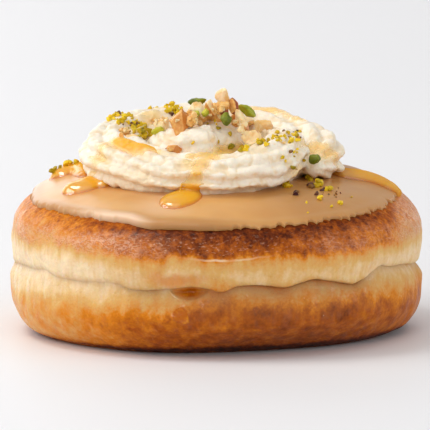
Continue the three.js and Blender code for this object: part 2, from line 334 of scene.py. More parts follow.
@dataclass(frozen=True)
class Colour:
    """A colour as seen on a screen, each part from 0 to 255."""

    red: float
    green: float
    blue: float

    @property
    def linear(self) -> tuple[float, float, float, float]:
        """The same colour as amounts of light.

        Returns:
            Red, green and blue from 0 to 1, and a full alpha.
        """
        shares = (part / 255 for part in (self.red, self.green, self.blue))
        amounts = (s / 12.92 if s <= 0.04045 else ((s + 0.055) / 1.055) ** 2.4 for s in shares)
        return (*amounts, 1.0)


class Shade:
    """A value in a finish: a socket whose sums are made of Math nodes."""

    def __init__(self, sheet: "NodeSheet", socket: bpy.types.NodeSocket) -> None:
        """Wrap a node's output."""
        self.sheet = sheet
        self.socket = socket

    def _sum(self, operation: str, left: Any, right: Any) -> "Shade":
        """Add a Math node with two inputs."""
        made = self.sheet.add("ShaderNodeMath", {"operation": operation}, {0: left, 1: right})
        return Shade(self.sheet, made.outputs[0])

    def __add__(self, other: "Shade | float") -> "Shade":
        """Add."""
        return self._sum("ADD", self, other)

    def __sub__(self, other: "Shade | float") -> "Shade":
        """Take away."""
        return self._sum("SUBTRACT", self, other)

    def __rsub__(self, other: float) -> "Shade":
        """Take this away from a number."""
        return self._sum("SUBTRACT", other, self)

    def __mul__(self, other: "Shade | float") -> "Shade":
        """Multiply."""
        return self._sum("MULTIPLY", self, other)

    __radd__ = __add__
    __rmul__ = __mul__

    def ease(self, low: float, high: float) -> "Shade":
        """Go smoothly from 0 to 1.

        Args:
            low: Where it is 0.
            high: Where it is 1.

        Returns:
            The new value.
        """
        settings = {"interpolation_type": "SMOOTHSTEP"}
        sockets = {"Value": self, "From Min": low, "From Max": high}
        return Shade(self.sheet, self.sheet.add("ShaderNodeMapRange", settings, sockets).outputs[0])


class NodeSheet:
    """The nodes of one material, round one Principled shader.

    FINER is how strong each finer layer of noise is beside the one before.
    """

    FINER: ClassVar[float] = 0.55

    def __init__(self, name: str) -> None:
        """Start an empty material.

        Args:
            name: The material's name.
        """
        self.material = bpy.data.materials.new(name)
        self.material.use_nodes = True
        self.tree = self.material.node_tree
        self.tree.nodes.clear()
        self.shader = self.add("ShaderNodeBsdfPrincipled")
        self.add("ShaderNodeOutputMaterial", sockets={"Surface": self.shader.outputs[0]})

    def add(
        self,
        kind: str,
        settings: Mapping[str, Any] | None = None,
        sockets: Mapping[str | int, Any] | None = None,
    ) -> bpy.types.Node:
        """Add a node.

        Args:
            kind: The node's type.
            settings: Properties, set first. "stops" are a ramp's places and colours.
            sockets: Values or links of its inputs, by name or number.

        Returns:
            The new node.
        """
        made = self.tree.nodes.new(kind)
        for name, value in (settings or {}).items():
            if name == "stops":
                self._set_stops(made.color_ramp, value)
            else:
                setattr(made, name, value)
        for name, value in (sockets or {}).items():
            self.feed(made.inputs[name], value)
        return made

    @staticmethod
    def _set_stops(ramp: bpy.types.ColorRamp, stops: Sequence[tuple[float, Colour]]) -> None:
        """Give a ramp its stops.

        Args:
            ramp: A new ramp, which has two stops.
            stops: Two or more places and colours.
        """
        while len(ramp.elements) < len(stops):
            ramp.elements.new(1.0)
        for element, (place, colour) in zip(ramp.elements, stops):
            element.position = place
            element.color = colour.linear

    def feed(self, socket: bpy.types.NodeSocket, value: Any) -> None:
        """Link a socket to a value's node, or set it.

        Args:
            socket: A node's input.
            value: A Shade, a socket, a Colour or a plain value.
        """
        if isinstance(value, Shade):
            value = value.socket
        if isinstance(value, bpy.types.NodeSocket):
            self.tree.links.new(value, socket)
        else:
            socket.default_value = value.linear if isinstance(value, Colour) else value

    def dress(self, **sockets: Any) -> bpy.types.Material:
        """Feed the shader's inputs.

        Args:
            sockets: Values or links by the inputs' names, with _ for a space.

        Returns:
            The finished material.
        """
        for name, value in sockets.items():
            self.feed(self.shader.inputs[name.replace("_", " ")], value)
        return self.material

    def painted(self, name: str) -> Shade:
        """Read a number kept on the mesh."""
        made = self.add("ShaderNodeAttribute", {"attribute_name": name})
        return Shade(self, made.outputs["Fac"])

    def noise(self, size: float, detail: float = 2.0, stretch: Sequence[float] = (1, 1, 1)) -> Shade:
        """Give noise from 0 to 1 over space.

        Args:
            size: How wide its bumps are, in millimetres.
            detail: How many finer layers it has.
            stretch: How much longer the bumps are along x, y and z.

        Returns:
            The noise's value.
        """
        place = self.add("ShaderNodeTexCoord").outputs["Object"]
        if tuple(stretch) != (1, 1, 1):
            scale = [1 / s for s in stretch]
            place = self.add("ShaderNodeMapping", sockets={"Vector": place, "Scale": scale}).outputs[0]
        sockets = {"Vector": place, "Scale": 1 / (size * MM), "Detail": detail, "Roughness": self.FINER}
        return Shade(self, self.add("ShaderNodeTexNoise", sockets=sockets).outputs["Fac"])

    def cells(self, size: float) -> Shade:
        """Give the distance to the nearest of many scattered points, for pits and specks.

        Args:
            size: How far apart the points are, in millimetres.

        Returns:
            The distance, as a share of that size.
        """
        place = self.add("ShaderNodeTexCoord").outputs["Object"]
        sockets = {"Vector": place, "Scale": 1 / (size * MM)}
        return Shade(self, self.add("ShaderNodeTexVoronoi", sockets=sockets).outputs["Distance"])

    def ramp(self, value: Shade, stops: Sequence[tuple[float, Colour]]) -> bpy.types.NodeSocket:
        """Turn a value into colours along a ramp."""
        made = self.add("ShaderNodeValToRGB", {"stops": stops}, {"Fac": value})
        return made.outputs["Color"]

    def mix(self, share: Shade | float, under: Any, over: Any) -> bpy.types.NodeSocket:
        """Mix two colours.

        Args:
            share: How much of the second shows, from 0 to 1.
            under: The first colour, as a socket or a Colour.
            over: The second colour.

        Returns:
            The mixed colour.
        """
        made = self.add("ShaderNodeMix", {"data_type": "RGBA"}, {0: share, 6: under, 7: over})
        return made.outputs[2]

    def bump(self, height: Shade, depth: float) -> bpy.types.NodeSocket:
        """Turn a height from 0 to 1 into relief of a depth in millimetres."""
        made = self.add("ShaderNodeBump", sockets={"Height": height, "Distance": depth * MM})
        return made.outputs[0]


@dataclass(frozen=True)
class CrustFinish:
    """Fried dough: a pale band between browned halves, under a thin sugar glaze, with painted shade and
    glints.
    """

    pale: Colour = Colour(246, 221, 182)
    straw: Colour = Colour(223, 177, 107)
    golden: Colour = Colour(218, 130, 24)
    brown: Colour = Colour(170, 84, 10)
    dark: Colour = Colour(104, 40, 4)
    burnt: Colour = Colour(46, 12, 0)
    film: Colour = Colour(222, 143, 98)
    sugar: Colour = Colour(246, 200, 166)
    honeyed: Colour = Colour(214, 136, 58)
    amber: Colour = Colour(188, 98, 0)
    resin: Colour = Colour(222, 140, 18)
    crease_shade: Colour = Colour(160, 121, 86)
    speck_and_glint: Colour = Colour(255, 232, 196)

    def material(self) -> bpy.types.Material:
        """Make the crust's material.

        Returns:
            The finished material.
        """
        sheet = NodeSheet("fried_crust")
        mottle = sheet.noise(2.4, 4.0)
        grain = sheet.noise(0.6, 3.0)
        streak = sheet.noise(1.8, 2.0, (1, 1, 7))
        # bake_and_shade is the browning with painted light and shade laid over it.
        bake_and_shade = sheet.painted("bake_and_shade")
        under = sheet.painted("under")
        fried = bake_and_shade.ease(0.1, 0.6)
        rough = fried * (1 - under * 0.6)
        level = bake_and_shade + (mottle - 0.5) * (0.16 + rough * 0.6) + (streak - 0.45) * (0.2 + rough * 0.1)
        level = level + (grain - 0.5) * (0.06 + rough * 0.2) + (sheet.cells(1.0) - 0.4) * rough * 0.1
        level = level + (sheet.noise(4.4, 3.0) - 0.5) * (under * 0.4 + 0.06)
        pore = (1 - sheet.cells(1.7).ease(0.12, 0.42)) * sheet.painted("rim")
        level = (level + pore * 0.15) * 0.8
        browning = [(0.0, self.pale), (0.16, self.straw), (0.38, self.golden), (0.58, self.brown)]
        colour = sheet.ramp(level, [*browning, (0.78, self.dark), (1.0, self.burnt)])
        film = sheet.painted("film")
        wave = sheet.noise(0.9, 2.0, (1.8, 1.8, 1)) - 0.5
        crinkle = (1 - wave * wave * 160).ease(0.0, 1.0) * film
        colour = sheet.mix(film * (0.3 + sheet.noise(0.7, 3.0).ease(0.3, 0.66) * 0.4), colour, self.film)
        colour = sheet.mix(crinkle * 0.4, colour, self.sugar)
        dash = sheet.noise(0.5, 3.0, (2.4, 2.4, 1)).ease(0.56, 0.7) * sheet.painted("dash")
        colour = sheet.mix(dash * 0.4, colour, self.sugar)
        off = sheet.painted("thread_off")
        thread = (1 - off * off * 9).ease(0.0, 1.0) * sheet.painted("thread")
        colour = sheet.mix(thread * 0.65, colour, self.speck_and_glint)
        # Painted shade in the crease and under its overhang, warmed towards amber right along the crease
        # line.
        crease_shade = sheet.painted("crease_shade")
        colour = sheet.mix(crease_shade * 0.9, colour, self.crease_shade)
        colour = sheet.mix(crease_shade.ease(0.6, 1.0) * 0.5, colour, self.amber)
        seep = sheet.painted("seep")
        colour = sheet.mix(seep.ease(0.0, 0.55) * (1 - fried), colour, self.honeyed)
        resin = sheet.mix(mottle.ease(0.48, 0.66) * 0.7, self.amber, self.resin)
        colour = sheet.mix(seep.ease(0.45, 0.9), colour, resin)
        # Painted glints: small light specks scattered where the crust is glossy, kept off the rim.
        speck_and_glint = (sheet.cells(2.1) + (grain - 0.5) * 0.3).ease(0.02, 0.1)
        glint = (1 - speck_and_glint) * mottle.ease(0.5, 0.6) * (1 - sheet.painted("rim"))
        colour = sheet.mix(glint * 0.25, colour, self.speck_and_glint)
        pores = sheet.cells(0.8).ease(0.0, 0.5)
        relief = (grain * 0.35 + mottle * 0.6 + pores * 0.4) * (1 - under * 0.6) + crinkle * 1.3
        damp = sheet.noise(1.4, 3.0, (1, 1, 2)).ease(0.5, 0.6) * (1 - rough * 0.8) * sheet.painted("moist")
        return sheet.dress(
            Base_Color=colour,
            Roughness=0.5 - film * 0.1 - seep * 0.25 - under * 0.1 + (grain - 0.5) * 0.2,
            Normal=sheet.bump(relief, 0.16),
            Specular_IOR_Level=0.08,
            Subsurface_Weight=0.3,
            Subsurface_Radius=(1.0, 0.45, 0.14),
            Subsurface_Scale=0.0024,
            Coat_Weight=0.02 + damp * 0.5 + film * 0.2 + seep * 0.5,
            Coat_Roughness=0.12,
        )


@dataclass(frozen=True)
class IcingFinish:
    """Caramel fondant with a soft gloss, under painted shade and sheen."""

    body: Colour = Colour(224, 168, 98)
    flow: Colour = Colour(212, 152, 84)
    # thin is painted shade: darker along the rim's rounded edge and over the right side, where the cream
    # shades the icing.
    thin: Colour = Colour(180, 126, 68)
    rim_sheen: Colour = Colour(250, 218, 186)

    def material(self) -> bpy.types.Material:
        """Make the icing's material.

        Returns:
            The finished material.
        """
        sheet = NodeSheet("caramel_icing")
        clouds = sheet.noise(14.0, 2.0)
        colour = sheet.mix(clouds.ease(0.3, 0.7), self.body, self.flow)
        # Painted shade from the thin colour.
        colour = sheet.mix(sheet.painted("thin"), colour, self.thin)
        # Painted sheen: a light band along the rounded rim on the left.
        colour = sheet.mix(sheet.painted("rim_sheen"), colour, self.rim_sheen)
        ripples = sheet.noise(5.0, 2.0)
        return sheet.dress(
            Base_Color=colour,
            Roughness=0.3 + clouds * 0.08,
            Normal=sheet.bump(ripples, 0.12),
            Specular_IOR_Level=0.38,
            Subsurface_Weight=0.3,
            Subsurface_Radius=(1.0, 0.5, 0.25),
            Subsurface_Scale=0.0018,
            Coat_Weight=0.2,
            Coat_Roughness=0.26,
        )


@dataclass(frozen=True)
class CreamFinish:
    """Whipped cream, stained by a film of honey here and there, with painted shade in its hollows."""

    body: Colour = Colour(250, 238, 218)
    shade: Colour = Colour(240, 216, 176)
    honey: Colour = Colour(248, 216, 154)

    def material(self) -> bpy.types.Material:
        """Make the cream's material.

        Returns:
            The finished material.
        """
        sheet = NodeSheet("whipped_cream")
        froth = sheet.noise(1.1, 4.0)
        billow = sheet.noise(3.6, 3.0)
        # Painted shade in the froth's hollows and on the lower front-left wall of the rope.
        shade_share = (sheet.painted("groove_shade") + (1 - billow).ease(0.35, 0.75) * 0.3).ease(0.0, 1.0)
        colour = sheet.mix(shade_share * 0.8, self.body, self.shade)
        film = (sheet.painted("film") * (0.55 + billow * 0.9)).ease(0.1, 0.9)
        colour = sheet.mix(film, colour, self.honey)
        return sheet.dress(
            Base_Color=colour,
            Roughness=0.5 - film * 0.32,
            Normal=sheet.bump(froth * 0.6 + billow * 0.4, 0.55),
            Subsurface_Weight=0.22,
            Subsurface_Radius=(1.0, 0.7, 0.45),
            Subsurface_Scale=0.0014,
            Coat_Weight=film * 0.5,
            Coat_Roughness=0.1,
        )


@dataclass(frozen=True)
class HoneyFinish:
    """Honey, deeper in colour where it is thick, with a painted dark outline round its drops."""

    edge: Colour = Colour(244, 212, 146)
    thin: Colour = Colour(242, 202, 124)
    thick: Colour = Colour(240, 172, 38)
    deep: Colour = Colour(236, 170, 46)
    # caramel is painted shade: the dark outline round the drops on the icing.
    caramel: Colour = Colour(186, 100, 22)
    toffee: Colour = Colour(208, 150, 84)

    def material(self) -> bpy.types.Material:
        """Make the honey's material.

        Returns:
            The finished material.
        """
        sheet = NodeSheet("honey")
        clouds = sheet.noise(3.0, 2.0, (3, 1, 1))
        depth = sheet.painted("depth")
        rich = sheet.painted("rich")
        level = (depth + (clouds - 0.5) * 0.2) * 0.45 + rich * 0.5
        stops = [(0.05, self.edge), (0.2, self.thin), (0.5, self.thick), (1.0, self.deep)]
        colour = sheet.ramp(level, stops)
        colour = sheet.mix(sheet.painted("stiff") * (0.3 + clouds * 0.5), colour, self.toffee)
        # Painted shade: a dark outline where the honey on the icing thins to its edge.
        colour = sheet.mix((1 - depth.ease(0.1, 0.8)) * rich * 0.8, colour, self.caramel)
        body = (depth + rich * depth.ease(0.0, 0.1) * 0.2).ease(0.0, 0.6)
        return sheet.dress(
            Base_Color=colour,
            Roughness=0.08 + clouds * 0.05,
            Alpha=body * (0.76 + depth.ease(0.4, 0.9) * 0.14),
            Specular_IOR_Level=0.0,
            Subsurface_Weight=0.35,
            Subsurface_Radius=(1.0, 0.5, 0.12),
            Subsurface_Scale=0.0015,
            Coat_Weight=sheet.painted("gloss"),
            Coat_Roughness=0.04,
            Coat_IOR=2.1,
        )


@dataclass(frozen=True)
class KernelFinish:
    """A chopped kernel: flesh on its cuts, and skin on what is left of its outside."""

    name: str
    flesh: tuple[Colour, Colour, Colour]
    skin: tuple[Colour, Colour, Colour]
    roughness: float = 0.45
    grain: float = 0.9

    def material(self) -> bpy.types.Material:
        """Make the material for one kind of kernel.

        Returns:
            The finished material.
        """
        sheet = NodeSheet(self.name)
        fibre = sheet.noise(self.grain, 3.0)
        cloud = sheet.noise(self.grain * 2.5, 2.0)
        level = sheet.painted("tone") + (cloud - 0.5) * 0.8 + (fibre - 0.5) * 0.4
        places = (0.1, 0.5, 0.9)
        flesh = sheet.ramp(level, list(zip(places, self.flesh)))
        skin = sheet.ramp(level, list(zip(places, self.skin)))
        return sheet.dress(
            Base_Color=sheet.mix(sheet.painted("skin"), flesh, skin),
            Roughness=self.roughness + (fibre - 0.5) * 0.2,
            Normal=sheet.bump(fibre, 0.1),
            Specular_IOR_Level=0.3,
            Subsurface_Weight=0.25,
            Subsurface_Radius=(1.0, 0.6, 0.3),
            Subsurface_Scale=0.001,
        )


NUT = KernelFinish(
    "chopped_nut",
    (Colour(255, 232, 186), Colour(242, 192, 114), Colour(208, 132, 56)),
    (Colour(202, 120, 74), Colour(158, 78, 42), Colour(100, 38, 16)),
)
PISTACHIO = KernelFinish(
    "chopped_pistachio",
    (Colour(244, 204, 30), Colour(196, 166, 12), Colour(112, 108, 4)),
    (Colour(134, 96, 44), Colour(92, 50, 48), Colour(50, 18, 32)),
    0.4,
    0.6,
)
PISTACHIO_HALF = KernelFinish(
    "pistachio_half",
    (Colour(208, 200, 58), Colour(160, 164, 36), Colour(100, 114, 16)),
    (Colour(130, 118, 40), Colour(88, 86, 28), Colour(58, 40, 30)),
    0.35,
    0.8,
)


@dataclass(frozen=True)
class FloorFinish:
    """A plain pale floor."""

    body: Colour = Colour(237, 236, 237)

    def material(self) -> bpy.types.Material:
        """Make the floor's material.

        Returns:
            The finished material.
        """
        sheet = NodeSheet("pale_floor")
        haze = sheet.noise(180.0, 1.0)
        return sheet.dress(Base_Color=self.body, Roughness=0.5 + haze * 0.1)


@dataclass
class Viewpoint:
    """The camera, far off and a little above the table."""

    elevation: float = 9.0
    distance: float = 2500.0
    aim: tuple[float, float, float] = (-0.1, 0.0, 26.6)
    width: float = 100.1
    picture: float = 430.0
    sensor: float = 36.0

    def axes(self) -> tuple[Vector, Vector, Vector]:
        """Give the picture's own directions.

        Returns:
            The ways to the right, up and into the picture, each of length 1.
        """
        tilt = math.radians(self.elevation)
        upward = Vector((0, math.sin(tilt), math.cos(tilt)))
        inward = Vector((0, math.cos(tilt), -math.sin(tilt)))
        return Vector((1, 0, 0)), upward, inward

    def place(self) -> Vector:
        """Give the camera's place in metres."""
        return (Vector(self.aim) - self.axes()[2] * self.distance) * MM

    def heading(self, column: float, row: float) -> Vector:
        """Give the direction from the camera through a point of the picture.

        Args:
            column: The point's pixel from the left.
            row: Its pixel from the top.

        Returns:
            The direction, of length 1.
        """
        right, upward, inward = self.axes()
        middle = self.picture / 2
        scale = self.width / self.picture
        aside = right * (column - middle) * scale + upward * (middle - row) * scale
        return (inward * self.distance + aside).normalized()

    def build(self) -> None:
        """Make the camera and use it."""
        lens = bpy.data.cameras.new("camera")
        lens.sensor_width = self.sensor
        lens.lens = self.sensor * self.distance / self.width
        lens.clip_end = 20.0
        camera = bpy.data.objects.new("camera", lens)
        right, upward, inward = self.axes()
        turned = Matrix((right, upward, -inward)).transposed().to_4x4()
        camera.matrix_world = Matrix.Translation(self.place()) @ turned
        bpy.context.scene.collection.objects.link(camera)
        bpy.context.scene.camera = camera


@dataclass(frozen=True)
class Lamp:
    """A soft box light that looks at the doughnut."""

    name: str
    place: tuple[float, float, float]
    size: float
    watts: float
    tint: tuple[float, float, float] = (1.0, 1.0, 1.0)


@dataclass
class Studio:
    """The floor, the light all round and the soft boxes."""

    floor_radius: float = 5.0
    sky: tuple[float, float, float] = (0.97, 0.98, 1.0)
    sky_strength: float = 0.45
    target: tuple[float, float, float] = (0.0, 0.0, 0.025)
    lamps: tuple[Lamp, ...] = (
        Lamp("key", (-1.3, -0.1, 0.8), 0.8, 7.7, (1.0, 0.985, 0.96)),
        Lamp("top", (-0.2, -0.8, 2.1), 2.4, 10.4),
        Lamp("panel", (-0.55, 1.25, 0.4), 1.0, 5.2),
        Lamp("spark", (-0.7, 0.1, 1.5), 0.55, 5.6),
        Lamp("fill", (1.2, -0.2, 0.35), 0.6, 3.0),
        Lamp("front", (-0.4, -1.6, 0.75), 0.5, 4.6),
        Lamp("rear", (0.6, 1.3, 0.16), 0.3, 0.4),
    )

    def build(self) -> None:
        """Make the floor and the lights."""
        Bench.pick()
        bpy.ops.mesh.primitive_circle_add(vertices=96, radius=self.floor_radius, fill_type="NGON")
        floor = bpy.context.object
        floor.name = floor.data.name = "floor"
        floor.data.materials.append(FloorFinish().material())
        world = bpy.data.worlds.new("studio")
        world.use_nodes = True
        background = next(n for n in world.node_tree.nodes if n.type == "BACKGROUND")
        background.inputs["Color"].default_value = (*self.sky, 1.0)
        background.inputs["Strength"].default_value = self.sky_strength
        bpy.context.scene.world = world
        for lamp in self.lamps:
            self.hang(lamp)

    def hang(self, lamp: Lamp) -> None:
        """Make one soft box, turned towards the doughnut.

        Args:
            lamp: What it is and where it hangs.
        """
        light = bpy.data.lights.new(lamp.name, "AREA")
        light.energy = lamp.watts
        light.size = lamp.size
        light.color = lamp.tint
        holder = bpy.data.objects.new(lamp.name, light)
        holder.location = lamp.place
        holder.rotation_euler = (Vector(self.target) - holder.location).to_track_quat("-Z", "Y").to_euler()
        bpy.context.scene.collection.objects.link(holder)


@dataclass(frozen=True)
class Spot:
    """A place on a finished piece, in metres, and the way that it faces."""

    place: Vector
    facing: Vector


class Surface:
    """The faces of finished pieces, for laying other things on them.

    SLIPS are the pixels under a point of the picture that are tried in turn, and a spot farther back
    than BEHIND, in metres, is passed over.
    """

    SLIPS: ClassVar[range] = range(0, 16, 2)
    BEHIND: ClassVar[float] = 0.06

    def __init__(self, viewpoint: Viewpoint, *pieces: bpy.types.Object) -> None:
        """Keep the pieces' faces.

        Args:
            viewpoint: The camera, for points given in the picture.
            pieces: What things can lie on.
        """
        self.viewpoint = viewpoint
        graph = bpy.context.evaluated_depsgraph_get()
        self.trees = [BVHTree.FromObject(piece, graph) for piece in pieces]

    def strike(self, start: Vector, heading: Vector, reach: float = 10.0) -> Spot | None:
        """Find what a straight line meets first.

        Args:
            start: Where the line starts, in metres.
            heading: Its direction.
            reach: Its length.

        Returns:
            The nearest spot, or None.
        """
        hits = (tree.ray_cast(start, heading, reach) for tree in self.trees)
        found = [hit for hit in hits if hit[0] is not None]
        if not found:
            return None
        place, facing, _, _ = min(found, key=lambda hit: hit[3])
        return Spot(place, facing if facing.dot(heading) < 0 else -facing)

    def seen(self, column: float, row: float) -> Spot | None:
        """Find what shows at a point of the picture, or a little under it.

        Args:
            column: The point's pixel from the left.
            row: Its pixel from the top.

        Returns:
            The spot, or None.
        """
        lines = (self.viewpoint.heading(column, row + under) for under in self.SLIPS)
        spots = (self.strike(self.viewpoint.place(), line) for line in lines)
        return next((spot for spot in spots if spot is not None and spot.place.y < self.BEHIND), None)

    def below(self, x: float, y: float) -> Spot | None:
        """Find the highest spot over a place in plan, in millimetres."""
        return self.strike(Vector((x * MM, y * MM, 0.2)), Vector((0, 0, -1)))

    def height(self, place: Vector, number: int) -> float:
        """Give how far a place lies off one of the pieces, less than 0 inside it."""
        near, facing, _, away = self.trees[number].find_nearest(place)
        return math.copysign(away, (place - near).dot(facing))


@dataclass(frozen=True)
class Stain:
    """A patch on the front of the bun: its place, half sizes, strength and how soft its edge is."""

    x: float
    height: float
    half_x: float
    half_height: float
    strength: float = 0.8
    soft: float = 0.9

    def share(self, points: Array, on_side: Array) -> Array:
        """Give how stained points are, with a ragged edge.

        Args:
            points: Rows of x, y and z.
            on_side: The same points on an even cylinder, for noise.

        Returns:
            One value from 0 to its strength for each point.
        """
        across = np.abs(points[:, 0] - self.x) / self.half_x
        along = np.abs(points[:, 2] - self.height) / self.half_height
        off = (across**2.4 + along**2.4) ** (1 / 2.4) + 0.35 * layered(on_side, 2.2, 66, 3)
        return self.strength * ease(off, 1 + self.soft, 1 - self.soft) * (points[:, 1] < 0)


@dataclass
class Dough:
    """The fried bun: two halves, each widest at its own waist, that meet in a wavy crease."""

    radius: float = 47.5
    top: float = 35.4
    upper_waist: float = 21.5
    lower_waist: float = 10.5
    shoulder_power: float = 3.1
    lean_back: float = 0.016
    lean_left: float = 0.008
    swell: float = 1.3
    lower_depth: float = 11.3
    lower_wide: float = 12.0
    lower_deep: float = 2.0
    crease: float = 16.8
    crease_reach: float = 4.2
    roll_depth: float = 1.0
    roll_spread: float = 2.4
    slit_depth: float = 1.1
    slit_above: float = 0.35
    slit_below: float = 1.5
    foot_flat: float = 0.095
    foot_lift: float = 0.095
    foot_span: tuple[float, float] = (-24.0, 20.0)
    foot_top: float = 9.0
    swell_across: tuple[float, float] = (18.0, 34.0)
    swell_behind: tuple[float, float] = (-8.0, 12.0)
    slit_closed: tuple[float, float] = (-8.0, -26.0)
    overhang: float = 0.3
    mouth_angle: float = -97.5
    mouth_half: float = 5.6
    mouth_drop: float = 2.3
    mouth_depth: float = 2.3
    mouth_lip: float = 0.6
    mouth_fade: float = 2.5
    stains: tuple[Stain, ...] = (
        Stain(-8.1, 11.0, 2.5, 2.1, 1.0, 0.3),
        Stain(-8.6, 18.6, 6.4, 1.5, 0.42),
        Stain(-13.4, 19.6, 1.8, 2.4, 0.34),
    )
    scorches: tuple[Stain, ...] = (
        Stain(9.7, 11.6, 2.0, 1.5, 0.12),
        Stain(27.8, 11.0, 1.6, 2.2, 0.1),
    )
    sides: int = 560
    under_rows: int = 9
    low_rows: int = 36
    below_rows: int = 28
    above_rows: int = 26
    shown_rows: int = 44
    iced_rows: int = 18
    iced_from: float = 34.0
    lumps: tuple[Wave, ...] = (Wave(2, 0.005, 0.4), Wave(3, 0.004, 2.1), Wave(7, 0.0025, 1.3))
    crease_line: tuple[tuple[float, float], ...] = (
        (-180, 15.7), (-165, 17.0), (-153, 17.3), (-146, 18.1), (-141, 16.8), (-132, 16.7), (-119, 17.2),
        (-115, 16.0), (-110, 15.9), (-103, 16.7), (-97, 17.2), (-92, 16.7), (-88, 15.6), (-84, 17.4),
        (-78, 17.5), (-69, 16.4), (-61, 18.1), (-57, 17.6), (-46, 15.6), (-40, 17.4), (-35, 19.2),
        (-30, 18.2), (-21, 17.8), (-11, 16.5), (0, 15.7), (24, 17.2), (40, 16.2), (58, 17.8), (76, 16.4),
        (95, 17.4), (112, 16.0), (131, 17.6), (150, 16.4), (166, 17.2),
    )

    def shoulder(self, latitude: Array) -> tuple[Array, Array]:
        """Follow the upper half's even outline.

        Args:
            latitude: Angles up from the upper waist, in radians.

        Returns:
            Radii and heights.
        """
        power = 2 / self.shoulder_power
        rise = self.top - self.upper_waist
        radius = self.radius * np.clip(np.cos(latitude), 0, 1) ** power
        return radius, self.upper_waist + rise * np.sin(latitude) ** power

    def lower_radius(self, height: Array) -> Array:
        """Give the radius of the lower half's even outline."""
        drop = np.maximum(self.lower_waist - height, 0) / self.lower_depth
        return self.radius * (1 - drop**self.lower_deep) ** (1 / self.lower_wide)

    def outline(self) -> tuple[Array, Array]:
        """Give radii and heights from the middle of the underside to the middle of the top.

        Returns:
            Radii and heights, closest together round the crease and where the side shows.
        """
        bunching = 1.7
        foot = float(self.lower_radius(np.zeros(1))[0])
        under = np.linspace(0, foot, self.under_rows)[:-1]
        low = self.lower_waist * (1 - np.cos(np.linspace(0, np.pi / 2, self.low_rows)))
        upwards = np.linspace(1, 0, self.below_rows)[1:] ** bunching
        below = self.crease - (self.crease - self.lower_waist) * upwards
        upwards = np.linspace(0, 1, self.above_rows)[1:] ** bunching
        above = self.crease + (self.upper_waist - self.crease) * upwards
        side = np.concatenate([below, above])
        shown = np.radians(np.linspace(0, self.iced_from, self.shown_rows)[1:])
        iced = np.radians(np.linspace(self.iced_from, 90, self.iced_rows)[1:])
        over_radius, over_height = self.shoulder(np.concatenate([shown, iced]))
        flat = np.zeros(len(under))
        straight = np.full(len(side), self.radius)
        radii = np.concatenate([under, self.lower_radius(low), straight, over_radius])
        return radii, np.concatenate([flat, low, side, over_height])

    def crease_height(self, angle: Array) -> Array:
        """Give the crease's height at each angle, with its corners a little rounded.

        Args:
            angle: Angles round the axis.

        Returns:
            One height for each angle.
        """
        turns, heights = np.array(self.crease_line).T
        around = np.degrees(angle)
        spread = np.linspace(-1.6, 1.6, 5)
        return sum(np.interp(around + s, turns, heights, period=360) for s in spread) / len(spread)

    def knead(self, radius: Array, height: Array, angle: Array) -> Array:
        """Turn points of the even outline into points of the uneven bun.

        Args:
            radius: Radii of the even outline.
            height: Its heights.
            angle: Angles round the axis.

        Returns:
            Rows of x, y and z.
        """
        away = height - self.crease
        follow = np.exp(-((away / self.crease_reach) ** 2))
        lifted = height + follow * (self.crease_height(angle) - self.crease)
        rolled = radius * (1 + ripple(self.lumps, angle)) - self.roll_depth * hill(away, 0, self.roll_spread)
        points = polar(rolled, angle, lifted)
        flattened = self.foot_flat + self.foot_lift * ease(points[:, 0], *self.foot_span)
        points[:, 1] *= 1 - flattened * ease(height, self.foot_top, 0.0)
        topward = np.maximum(height - self.upper_waist, 0) / (self.top - self.upper_waist)
        points[:, 2] += topward * (self.lean_back * points[:, 1] - self.lean_left * points[:, 0])
        swollen = topward * self.swell * ease(points[:, 0], *self.swell_across)
        points[:, 2] += swollen * ease(points[:, 1], *self.swell_behind)
        return points

    def above(self, latitude: Array, angle: Array, lift: Array) -> Array:
        """Give points that are lifted off the upper half, along its outward direction.

        Args:
            latitude: Angles up from the upper waist.
            angle: Angles round the axis.
            lift: How far each is lifted.

        Returns:
            Rows of x, y and z.
        """
        step = math.radians(0.2)
        at = self.knead(*self.shoulder(latitude), angle)
        upward = self.knead(*self.shoulder(np.minimum(latitude + step, np.pi / 2)), angle)
        upward -= self.knead(*self.shoulder(np.maximum(latitude - step, 0)), angle)
        onward = self.knead(*self.shoulder(latitude), angle + step)
        onward -= self.knead(*self.shoulder(latitude), angle - step)
        facing = unit(np.cross(onward, upward))
        facing[latitude > np.pi / 2 - step] = (0, 0, 1)
        return at + facing * np.asarray(lift)[:, None]

    def mouth(self, angle: Array) -> Array:
        """Give how far the crease gapes at each angle, from 0 to 1."""
        off = (np.degrees(angle) - self.mouth_angle) / self.mouth_half
        return np.clip(1 - off**2, 0, 1)

